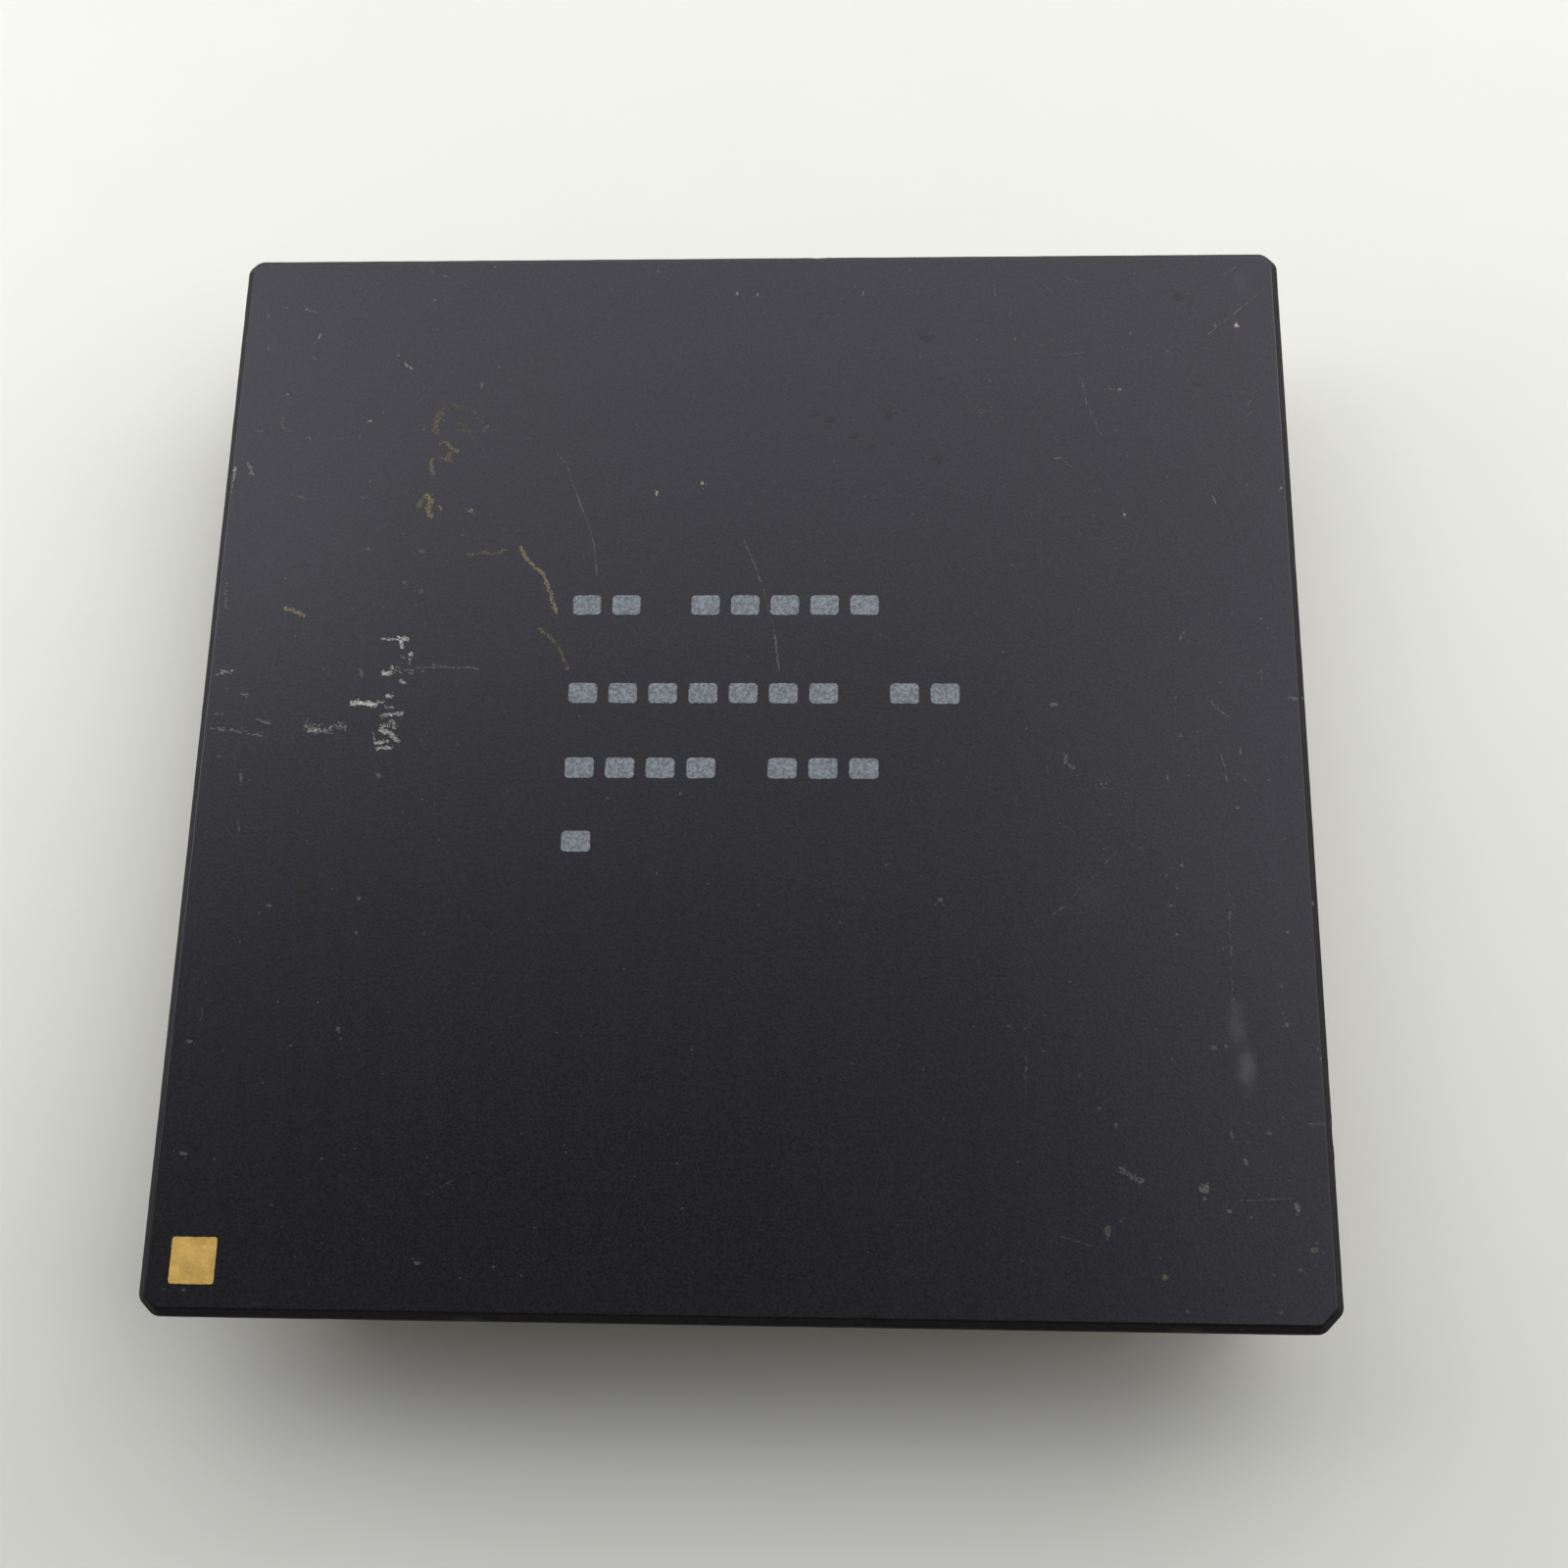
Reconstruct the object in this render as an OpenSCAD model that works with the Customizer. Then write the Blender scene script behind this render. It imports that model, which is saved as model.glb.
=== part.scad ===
// Ceramic pin-grid-array processor, standing on its pins with its marked face up.
// z = 0 is the plane of the pin tips, and x = y = 0 is the centre of the pin grid.
// The index corner, which has the gold mark above and no pin below, is at -x and -y.
// The die sits in a stepped cavity that opens towards the pins and is closed by a lid.

/* [Pin grid] */
// Pins along each side of the grid
grid_count = 17; // [13:1:21]
// Rows of pins between the body's sides and the lid
grid_rows = 4; // [2:1:5]
// Spacing of the pins
pitch = 2.54; // [2.2:0.01:3]
// Diameter of the pins
pin_d = 0.46; // [0.34:0.01:0.6]
// Length of the pins below the body
pin_length = 4.57; // [3.5:0.01:6]
// Rounding of the pin tips
tip_radius = 0.12; // [0.04:0.01:0.15]

/* [Standoff collars] */
// Ring of the grid whose four corner pins carry collars, counted from the outside
collar_ring = 2; // [2:1:5]
// Drop from the body to the seating plane under the collars
standoff_drop = 1.27; // [0.9:0.01:2.5]
// Diameter of the collars
collar_d = 1.27; // [0.8:0.01:1.8]
// Thickness of the collars
collar_thickness = 0.3; // [0.2:0.01:0.45]
// Chamfer round the collars' rims
collar_chamfer = 0.08; // [0.02:0.01:0.09]

/* [Brazed joints] */
// Rise of the braze fillets along the pins, and their reach out from the pins
braze_fillet = 0.34; // [0.15:0.01:0.42]
// Thin edge at the foot and the top of the braze fillets
braze_lip = 0.03; // [0.01:0.01:0.05]
// Pad left showing round each braze fillet
pad_margin = 0.2; // [0.05:0.01:0.35]
// Thickness of the plated metal films
film = 0.03; // [0.01:0.01:0.05]

/* [Ceramic body] */
// Ceramic outside the centres of the outermost pins
edge_margin = 1.93; // [1.4:0.01:4]
// Ceramic roof above the die well
roof_thickness = 1; // [0.5:0.05:2]
// Corner chamfers, measured along the sides
corner_chamfer = 0.6; // [0.3:0.05:0.95]
// Bevel round the rims of both faces
rim_bevel = 0.3; // [0.05:0.01:0.4]
// Side of the square gold index mark
mark_side = 1.75; // [0.8:0.05:3]
// Ceramic between the index mark and the two nearest sides
mark_inset = 1.15; // [0.8:0.05:3]

/* [Lid and seal] */
// Bare ceramic between the innermost pads and the seal ring
ring_gap = 1.2; // [0.4:0.1:2]
// Seal ring left showing round the lid
ring_reveal = 0.45; // [0.2:0.05:1]
// Width of the sealed land under the lid
seal_land = 1.3; // [0.6:0.1:2]
// Thickness of the lid
lid_thickness = 0.38; // [0.2:0.01:0.6]
// Corner radius of the lid
lid_corner = 0.6; // [0.2:0.1:1]
// Thickness of the solder under the lid
solder_thickness = 0.05; // [0.02:0.01:0.1]
// Setback of the solder from the lid's edge
solder_setback = 0.1; // [0.05:0.01:0.3]

/* [Cavity] */
// Depth of the outer bonding shelf below the pin face
outer_shelf_depth = 0.55; // [0.4:0.05:1]
// Step between the outer and the inner bonding shelf
shelf_step = 0.4; // [0.25:0.05:0.7]
// Width of each bonding shelf
shelf_width = 1.1; // [0.8:0.05:1.6]
// Gap between the die and the wall of its well
die_gap = 0.6; // [0.35:0.05:1.2]
// Thickness of the die
die_thickness = 0.45; // [0.25:0.01:0.7]
// Thickness of the bond under the die
attach_thickness = 0.03; // [0.02:0.01:0.08]
// Reach of the bond beyond the die's edges
attach_margin = 0.1; // [0.02:0.01:0.2]
// Reach of the plated die pad beyond the die's edges
die_pad_margin = 0.3; // [0.21:0.01:0.34]

/* [Bonding] */
// Least spacing of the bond fingers
finger_pitch = 0.49; // [0.4:0.01:0.8]
// Width of the bond fingers
finger_width = 0.24; // [0.1:0.01:0.34]
// Bare shelf at both ends of each bond finger
finger_margin = 0.12; // [0.05:0.01:0.25]
// Bare shelf at both ends of each row of fingers
finger_corner = 0.5; // [0.3:0.05:1]
// Diameter of the bond wires
wire_d = 0.034; // [0.02:0.001:0.06]
// Distance from the die's edge to the wires' bonds on it
die_bond_inset = 0.15; // [0.05:0.01:0.4]
// Distance from the inner end of a finger to the wire's bond on it
finger_bond_inset = 0.3; // [0.1:0.01:0.5]
// Rise of the arc of the wires to the inner shelf
inner_loop = 0.25; // [0.12:0.01:0.4]
// Rise of the arc of the wires to the outer shelf
outer_loop = 0.34; // [0.25:0.01:0.45]

/* [Hidden] */

$fn = 48;

CERAMIC = "#36353b";
GOLD = "#c9a450";
BRAZE = "#bfa766";
SOLDER = "#b3995c";
SILICON = "#5f6672";
ATTACH = "#8d8577";
ALUMINIUM = "#c6c8cc";

// Reach of cuts past the faces that they open
past = 1;
// Angle between the points that round a pin's tip
tip_step = 30;

// Pin grid
grid_middle = (grid_count - 1) / 2;
pin_r = pin_d / 2;
braze_r = pin_r + braze_lip + braze_fillet;
pad_r = braze_r + pad_margin;
inner_row_span = (grid_count - 2 * grid_rows + 1) * pitch;

// Plan sizes, from the body's sides in to the die
body_side = (grid_count - 1) * pitch + 2 * edge_margin;
ring_side = inner_row_span - 2 * (pad_r + ring_gap);
lid_side = ring_side - 2 * ring_reveal;
cavity_side = lid_side - 2 * seal_land;
inner_opening_side = cavity_side - 2 * shelf_width;
well_side = inner_opening_side - 2 * shelf_width;
die_side = well_side - 2 * die_gap;

// Depths above the pin face. The die's face is level with the inner shelf.
inner_shelf_depth = outer_shelf_depth + shelf_step;
well_depth = inner_shelf_depth + die_thickness + attach_thickness + film;
body_thickness = well_depth + roof_thickness;

// Levels
pin_face = pin_length;
film_face = pin_face - film;
seating_plane = pin_face - standoff_drop;
solder_face = film_face - solder_thickness;
inner_shelf_level = pin_face + inner_shelf_depth;
well_level = pin_face + well_depth;
top_level = pin_face + body_thickness;

// Rows of bonds on each side of the die, one row on each shelf
inner_row_length = well_side - 2 * finger_corner;
outer_row_length = inner_opening_side - 2 * finger_corner;
bond_count = 1 + floor(inner_row_length / finger_pitch);
die_bond_pitch = (die_side - 2 * die_bond_inset) / (2 * bond_count);
finger_length = shelf_width - 2 * finger_margin;

// Ring of the grid that a place belongs to, where 1 is the outermost
function ring_of(i, j) = 1 + min(i, j, grid_count - 1 - i, grid_count - 1 - j);

function is_collared(i, j) = ring_of(i, j) == min(collar_ring, grid_rows)
    && abs(i - grid_middle) == abs(j - grid_middle);

function is_filled(i, j) = ring_of(i, j) <= grid_rows && i + j > 0;

function place(i, j) = [(i - grid_middle) * pitch, (j - grid_middle) * pitch];

// Places of the pins with a collar, or of those without
function pin_places(collared) = [
    for (i = [0 : grid_count - 1], j = [0 : grid_count - 1])
        if (is_filled(i, j) && is_collared(i, j) == collared)
            place(i, j)
];

plain_places = pin_places(false);
collared_places = pin_places(true);
all_places = concat(plain_places, collared_places);

// Half outline of a pin's rounded tip, from its flat end up to the shank
function tip_outline() = [
    for (turn = [0 : tip_step : 90])
        [pin_r - tip_radius * (1 - sin(turn)), tip_radius * (1 - cos(turn))]
];

module at_places(places) {
    for (spot = places)
        translate(spot)
            children();
}

module on_four_sides() {
    for (turn = [0 : 90 : 270])
        rotate(turn)
            children();
}

// Square plate between two levels
module plate(side, low, high) {
    translate([-side / 2, -side / 2, low])
        cube([side, side, high - low]);
}

// Square outline with rounded corners
module rounded_square(side, corner) {
    inner_side = side - 2 * corner;
    square([side, inner_side], center = true);
    square([inner_side, side], center = true);
    on_four_sides()
        translate([inner_side / 2, inner_side / 2])
            circle(corner);
}

// Section of the body across two sides that face each other, with both rims bevelled
function body_section(width) = [
    [-width / 2 + rim_bevel, pin_face],
    [width / 2 - rim_bevel, pin_face],
    [width / 2, pin_face + rim_bevel],
    [width / 2, top_level - rim_bevel],
    [width / 2 - rim_bevel, top_level],
    [-width / 2 + rim_bevel, top_level],
    [-width / 2, top_level - rim_bevel],
    [-width / 2, pin_face + rim_bevel]
];

// Bar of that section, turned in plan and longer than the body
module bevelled_bar(width, turn) {
    rotate(turn)
        rotate([90, 0, 0])
            linear_extrude(2 * body_side, center = true)
                polygon(body_section(width));
}

// Square slab with chamfered corners and bevelled rims all round
module ceramic_slab() {
    diagonal_width = (body_side - corner_chamfer) * sqrt(2);
    intersection() {
        bevelled_bar(body_side, 0);
        bevelled_bar(body_side, 90);
        bevelled_bar(diagonal_width, 45);
        bevelled_bar(diagonal_width, 135);
    }
}

module mark_block(low, high) {
    corner = -body_side / 2 + mark_inset;
    translate([corner, corner, low])
        cube([mark_side, mark_side, high - low]);
}

module ceramic_body() {
    color(CERAMIC)
        difference() {
            ceramic_slab();
            plate(cavity_side, pin_face - past, pin_face + outer_shelf_depth);
            plate(inner_opening_side, pin_face - past, inner_shelf_level);
            plate(well_side, pin_face - past, well_level);
            mark_block(top_level - film, top_level + past);
        }
}

// The mark is pressed flush into the ceramic before firing
module index_mark() {
    color(GOLD)
        mark_block(top_level - film, top_level);
}

module pin_pads() {
    color(GOLD)
        at_places(all_places)
            translate([0, 0, film_face])
                cylinder(r = pad_r, h = film);
}

// Hollow fillet of braze round the head of each pin
module pin_brazes() {
    size = braze_fillet + braze_lip;
    color(BRAZE)
        at_places(all_places)
            translate([0, 0, film_face])
                mirror([0, 0, 1])
                    rotate_extrude()
                        difference() {
                            translate([pin_r, 0])
                                square(size);
                            translate([pin_r + size, size])
                                circle(braze_fillet);
                        }
}

module contact_pins() {
    outline = concat([[0, 0]], tip_outline(), [[pin_r, film_face], [0, film_face]]);
    color(GOLD)
        at_places(plain_places)
            rotate_extrude()
                polygon(outline);
}

// Pins with an upset collar, which holds the body off the board
module standoff_pins() {
    collar_r = collar_d / 2;
    collar_top = seating_plane + collar_thickness;
    outline = concat(
        [[0, 0]],
        tip_outline(),
        [
            [pin_r, seating_plane],
            [collar_r - collar_chamfer, seating_plane],
            [collar_r, seating_plane + collar_chamfer],
            [collar_r, collar_top - collar_chamfer],
            [collar_r - collar_chamfer, collar_top],
            [pin_r, collar_top],
            [pin_r, film_face],
            [0, film_face]
        ]
    );
    color(GOLD)
        at_places(collared_places)
            rotate_extrude()
                polygon(outline);
}

// Film round the cavity's mouth, with a rounded outline, between two levels
module cavity_frame(side, corner, low, high) {
    difference() {
        translate([0, 0, low])
            linear_extrude(high - low)
                rounded_square(side, corner);
        plate(cavity_side, low - past, high + past);
    }
}

module seal_ring() {
    color(GOLD)
        cavity_frame(ring_side, lid_corner + ring_reveal, film_face, pin_face);
}

module lid_solder() {
    corner = max(lid_corner - solder_setback, film);
    color(SOLDER)
        cavity_frame(lid_side - 2 * solder_setback, corner, solder_face, film_face);
}

module lid() {
    color(GOLD)
        translate([0, 0, solder_face - lid_thickness])
            linear_extrude(lid_thickness)
                rounded_square(lid_side, lid_corner);
}

module die_pad() {
    color(GOLD)
        plate(die_side + 2 * die_pad_margin, well_level - film, well_level);
}

module die_attach() {
    attach_top = well_level - film;
    color(ATTACH)
        plate(die_side + 2 * attach_margin, attach_top - attach_thickness, attach_top);
}

module die() {
    color(SILICON)
        plate(die_side, inner_shelf_level, inner_shelf_level + die_thickness);
}

// Rows of bond fingers on a shelf that starts at an opening and faces the pins
module bond_fingers(opening, row_length, shelf_level) {
    spacing = row_length / (bond_count - 1);
    on_four_sides()
        for (i = [0 : bond_count - 1])
            translate([
                -row_length / 2 + i * spacing - finger_width / 2,
                opening / 2 + finger_margin,
                shelf_level - film
            ])
                cube([finger_width, finger_length, film]);
}

module inner_bond_fingers() {
    color(GOLD)
        bond_fingers(well_side, inner_row_length, inner_shelf_level);
}

module outer_bond_fingers() {
    color(GOLD)
        bond_fingers(inner_opening_side, outer_row_length, pin_face + outer_shelf_depth);
}

// Wire in one arc from start to end, which rises above its chord towards +z
module wire_arc(start, end, rise) {
    reach = end - start;
    run = norm([reach.x, reach.y]);
    chord = norm(reach);
    slope = asin(reach.z / chord);
    arc_r = (chord * chord / 4 + rise * rise) / (2 * rise);
    half_angle = asin(chord / 2 / arc_r);
    drop = arc_r - rise;
    translate(start)
        rotate([90, 0, atan2(reach.y, reach.x)])
            translate([run / 2 + drop * sin(slope), reach.z / 2 - drop * cos(slope)])
                rotate(90 + slope - half_angle)
                    rotate_extrude(angle = 2 * half_angle)
                        translate([arc_r, 0])
                            circle(d = wire_d);
}

// Rows of wires from the die to the fingers on one shelf, with every second die bond.
// They are drawn face up on z = 0 as the die's face, and turned over into the cavity.
module bond_wires(opening, row_length, finger_height, first_bond, rise) {
    spacing = row_length / (bond_count - 1);
    die_row_start = -die_bond_pitch * (bond_count - 0.5);
    translate([0, 0, inner_shelf_level])
        mirror([0, 0, 1])
            on_four_sides()
                for (i = [0 : bond_count - 1])
                    wire_arc(
                        [
                            die_row_start + (2 * i + first_bond) * die_bond_pitch,
                            die_side / 2 - die_bond_inset,
                            wire_d / 2
                        ],
                        [
                            -row_length / 2 + i * spacing,
                            opening / 2 + finger_margin + finger_bond_inset,
                            finger_height + wire_d / 2
                        ],
                        rise
                    );
}

module inner_bond_wires() {
    color(ALUMINIUM)
        bond_wires(well_side, inner_row_length, film, 0, inner_loop);
}

module outer_bond_wires() {
    color(ALUMINIUM)
        bond_wires(inner_opening_side, outer_row_length, shelf_step + film, 1, outer_loop);
}

ceramic_body();
index_mark();
pin_pads();
pin_brazes();
contact_pins();
standoff_pins();
seal_ring();
lid_solder();
lid();
die_pad();
die_attach();
die();
inner_bond_fingers();
outer_bond_fingers();
inner_bond_wires();
outer_bond_wires();
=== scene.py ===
"""Looks of a ceramic pin-grid-array processor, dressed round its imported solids."""

import math
import random

import bmesh
import bpy
from mathutils import Matrix, Vector


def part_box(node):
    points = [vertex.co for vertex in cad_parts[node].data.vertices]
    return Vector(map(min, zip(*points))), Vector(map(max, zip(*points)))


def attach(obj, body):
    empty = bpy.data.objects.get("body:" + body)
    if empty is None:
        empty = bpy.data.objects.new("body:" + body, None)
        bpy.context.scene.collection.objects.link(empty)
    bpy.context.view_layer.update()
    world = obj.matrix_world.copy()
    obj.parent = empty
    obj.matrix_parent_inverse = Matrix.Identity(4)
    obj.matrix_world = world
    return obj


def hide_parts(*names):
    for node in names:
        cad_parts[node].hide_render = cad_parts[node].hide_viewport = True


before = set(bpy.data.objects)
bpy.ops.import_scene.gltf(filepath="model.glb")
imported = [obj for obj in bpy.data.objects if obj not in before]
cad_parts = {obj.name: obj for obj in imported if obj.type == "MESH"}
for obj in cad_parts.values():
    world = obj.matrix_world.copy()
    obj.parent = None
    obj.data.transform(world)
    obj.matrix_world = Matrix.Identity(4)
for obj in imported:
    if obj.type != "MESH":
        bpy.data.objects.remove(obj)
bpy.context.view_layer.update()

bl_info = {
    "name": "Ceramic Processor",
    "version": (1, 0, 0),
    "blender": (4, 5, 0),
    "location": "View3D > Sidebar > Processor",
    "description": "Dresses the solids of a ceramic pin-grid-array processor",
    "category": "Mesh",
}

MM = 0.001
BODY = "root"

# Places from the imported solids
SLAB_LOW, SLAB_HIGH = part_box("ceramic_body")
TOP = SLAB_HIGH.z
PIN_FACE = SLAB_LOW.z
HALF_SIDE = SLAB_HIGH.x
PAD_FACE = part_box("pin_pads")[0].z
OUTER_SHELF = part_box("outer_bond_fingers")[1].z
INNER_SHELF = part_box("inner_bond_fingers")[1].z
WELL_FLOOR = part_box("die_pad")[1].z

# Share of the chamfer at each corner, which the press left unequal
CORNER_SHARES = {(-1, 1): 0.75, (1, 1): 0.92, (-1, -1): 1.05, (1, -1): 1.3}

# Pin grid
GRID_COUNT = 17
GRID_ROWS = 4
COLLAR_RING = 2

# Blocks of ink along each row of the print, with a space between groups, and the rows' places in millimetres
PRINT_ROWS = ((2, 5), (7, 2), (4, 3), (1,))
PRINT_HEIGHTS = (6.0, 2.2, -0.95, -3.98)
PRINT_LEFT = -7.2

# Wear on the top face, read off in millimetres on a grid laid over the face.
# The grid's step and middle differ a little from the solids'.
READ_STEP = (0.9943, 0.989)
READ_SHIFT = (0.04, 0.07)

# A stroke is its width, how densely it is strewn, how much paler than the ceramic it is, and its points
CHALK_STROKES = (
    (0.12, 0.8, 0.55, (-15.15, 4.5), (-14.5, 4.47)),
    (0.2, 1.0, 0.85, (-14.45, 4.54), (-14.0, 4.48)),
    (0.17, 0.9, 0.8, (-14.3, 4.45), (-14.25, 4.1)),
    (0.2, 0.9, 0.65, (-13.9, 3.88), (-13.8, 3.75)),
    (0.14, 0.35, 0.5, (-13.9, 3.7), (-13.88, 3.35)),
    (0.14, 0.3, 0.35, (-14.3, 3.75), (-14.1, 3.65)),
    (0.16, 0.7, 0.6, (-14.65, 3.3), (-14.55, 3.2)),
    (0.22, 1.0, 0.75, (-15.0, 3.02), (-14.6, 2.98)),
    (0.3, 0.2, 0.35, (-14.5, 3.1), (-13.7, 3.05)),
    (0.16, 0.9, 0.6, (-14.25, 2.7), (-13.95, 2.55)),
    (0.2, 0.8, 0.6, (-14.75, 2.0), (-14.45, 2.02)),
    (0.21, 1.0, 0.95, (-16.2, 1.7), (-15.6, 1.7), (-15.1, 1.62)),
    (0.13, 0.6, 0.6, (-15.1, 1.75), (-14.8, 1.72)),
    (0.1, 0.5, 0.5, (-14.8, 1.55), (-14.4, 1.5)),
    (0.18, 0.9, 0.65, (-14.9, 1.15), (-14.4, 1.24), (-14.0, 1.26)),
    (0.22, 0.55, 0.5, (-14.55, 0.95), (-14.3, 0.8), (-14.3, 0.6)),
    (0.18, 0.5, 0.65, (-14.9, 0.75), (-14.5, 0.7)),
    (0.18, 1.0, 0.75, (-14.95, 0.55), (-14.5, 0.42), (-14.3, 0.2), (-14.05, 0.05)),
    (0.1, 0.4, 0.4, (-15.2, 0.45), (-15.05, 0.05)),
    (0.15, 0.8, 0.65, (-15.1, -0.02), (-14.5, 0.05)),
    (0.14, 0.8, 0.65, (-15.0, -0.25), (-14.3, -0.2)),
    (0.32, 0.3, 0.4, (-18.0, 0.75), (-17.1, 0.45), (-16.7, 0.75), (-16.3, 0.6)),
    (0.2, 0.8, 0.6, (-17.85, 0.5), (-17.3, 0.5)),
    (0.06, 0.7, 0.2, (-13.6, 3.22), (-12.4, 3.26), (-11.0, 3.22)),
    (0.08, 0.5, 0.22, (-21.35, 14.02), (-20.95, 14.0)),
    (0.08, 0.6, 0.15, (-20.19, 14.65), (-20.05, 14.04), (-19.75, 13.95)),
    (0.08, 0.5, 0.22, (-19.05, 13.75), (-18.9, 13.6)),
    (0.12, 0.8, 0.4, (-21.5, 12.5), (-21.25, 12.1)),
    (0.1, 0.7, 0.3, (-21.35, 12.0), (-21.1, 12.0)),
    (0.16, 0.3, 0.2, (-21.89, 7.0), (-21.7, 5.7)),
    (0.12, 0.5, 0.45, (-21.95, 2.9), (-21.2, 3.1)),
    (0.14, 0.4, 0.3, (-20.75, 2.1), (-20.45, 2.0)),
    (0.26, 0.25, 0.16, (21.4, -14.95), (22.0, -14.93)),
    (0.06, 0.4, 0.12, (18.7, -17.8), (20.7, -17.7)),
    (0.1, 0.3, 0.25, (-13.6, 3.3), (-13.3, 3.05)),
    (0.08, 0.6, 0.18, (-13.0, 3.36), (-12.3, 3.28)),
    (0.09, 0.6, 0.18, (-11.6, 3.28), (-11.0, 3.2)),
    (0.1, 0.5, 1.0, (-21.98, 12.3), (-22.02, 11.75)),
    (0.07, 0.25, 0.45, (-22.02, 11.7), (-22.04, 11.1)),
    (0.1, 0.5, 0.3, (-21.5, 12.5), (-21.2, 12.2)),
    (0.16, 0.35, 0.3, (-20.0, 1.0), (-19.4, 0.8)),
    (0.14, 0.4, 0.3, (-21.8, 1.2), (-21.4, 1.2)),
    (0.16, 0.3, 0.3, (-21.9, 0.6), (-20.8, 0.5), (-19.7, 0.3)),
    (0.12, 0.4, 0.45, (-21.7, 3.1), (-21.2, 3.0)),
    (0.12, 0.3, 0.25, (-20.8, 2.1), (-20.4, 2.0)),
    (0.14, 0.7, 0.17, (12.7, -0.35), (12.72, -0.8), (13.05, -1.0)),
    (0.26, 0.6, 0.16, (14.3, -16.65), (15.15, -17.2)),
    (0.12, 0.9, 0.55, (-15.15, 17.22), (-14.75, 16.92)),
    (0.08, 0.6, 0.3, (-19.65, 19.86), (-19.15, 19.7)),
    (0.07, 0.5, 0.2, (-20.75, 20.05), (-20.4, 19.9)),
)

RUB_STROKES = (
    (0.34, 0.55, 0.2, (-13.35, 14.9), (-13.45, 14.5), (-13.6, 14.2), (-13.45, 13.85)),
    (0.22, 0.2, 0.12, (-13.3, 15.0), (-12.7, 15.15), (-12.2, 15.05), (-11.85, 14.8)),
    (0.12, 0.5, 0.18, (-11.98, 14.92), (-11.85, 14.78)),
    (0.2, 0.2, 0.15, (-11.8, 14.6), (-11.4, 14.25)),
    (0.16, 0.6, 0.28, (-11.5, 14.0), (-11.3, 14.2)),
    (0.12, 0.45, 0.14, (-12.65, 14.38), (-12.2, 14.2)),
    (0.12, 0.45, 0.14, (-12.65, 14.0), (-12.0, 13.95)),
    (0.2, 0.55, 0.3, (-13.35, 13.4), (-13.0, 13.45), (-12.8, 13.2), (-12.5, 13.0)),
    (0.16, 0.45, 0.2, (-13.3, 12.72), (-12.9, 12.62), (-12.7, 12.5)),
    (0.2, 0.4, 0.33, (-12.8, 12.98), (-12.95, 12.65)),
    (0.2, 0.7, 0.3, (-13.6, 12.7), (-13.6, 12.3), (-13.5, 11.9)),
    (0.12, 0.25, 0.1, (-13.65, 11.6), (-13.55, 11.35)),
    (0.26, 0.75, 0.4, (-13.75, 11.05), (-13.45, 10.7), (-13.65, 10.3), (-13.45, 9.95)),
    (0.2, 0.55, 0.28, (-13.75, 10.85), (-14.0, 10.55), (-14.05, 10.4)),
    (0.12, 0.7, 0.33, (-13.15, 10.5), (-13.05, 10.3)),
    (0.12, 0.5, 0.25, (-11.15, 8.4), (-10.85, 8.34)),
    (0.12, 0.5, 0.2, (-10.55, 8.25), (-10.2, 8.55)),
    (0.12, 0.25, 0.12, (-11.85, 8.25), (-11.6, 8.15)),
    (0.16, 0.9, 0.42, (-9.62, 8.65), (-9.42, 8.2), (-9.1, 7.85), (-8.6, 7.4), (-8.2, 6.4), (-7.95, 5.6)),
    (0.13, 0.6, 0.23, (-8.7, 5.0), (-8.3, 4.7), (-7.8, 4.2), (-7.35, 3.2)),
    (0.18, 0.7, 0.45, (-19.3, 5.85), (-18.85, 5.75), (-18.4, 5.5)),
    (0.1, 0.3, 0.14, (-19.6, 11.1), (-18.8, 10.8)),
    (0.1, 0.4, 0.2, (-20.2, 14.6), (-20.15, 14.1)),
    (0.12, 0.2, 0.12, (-13.45, 5.4), (-13.35, 5.0)),
    (0.14, 0.4, 0.17, (18.5, 1.9), (18.9, 1.4), (19.3, 1.1)),
    (0.1, 0.4, 0.14, (20.62, 3.26), (20.6, 2.8)),
    (0.1, 0.5, 0.2, (18.85, -0.4), (18.95, -0.9)),
    (0.1, 0.5, 0.22, (-11.8, 8.24), (-11.2, 8.34), (-10.7, 8.3), (-10.15, 8.48)),
    (0.1, 0.2, 0.15, (9.1, 15.3), (9.6, 14.65), (10.0, 15.0)),
    (0.12, 0.2, 0.12, (13.0, 12.4), (13.4, 12.1)),
    (0.1, 0.2, 0.1, (-11.7, -18.0), (-10.7, -17.4)),
)

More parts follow.
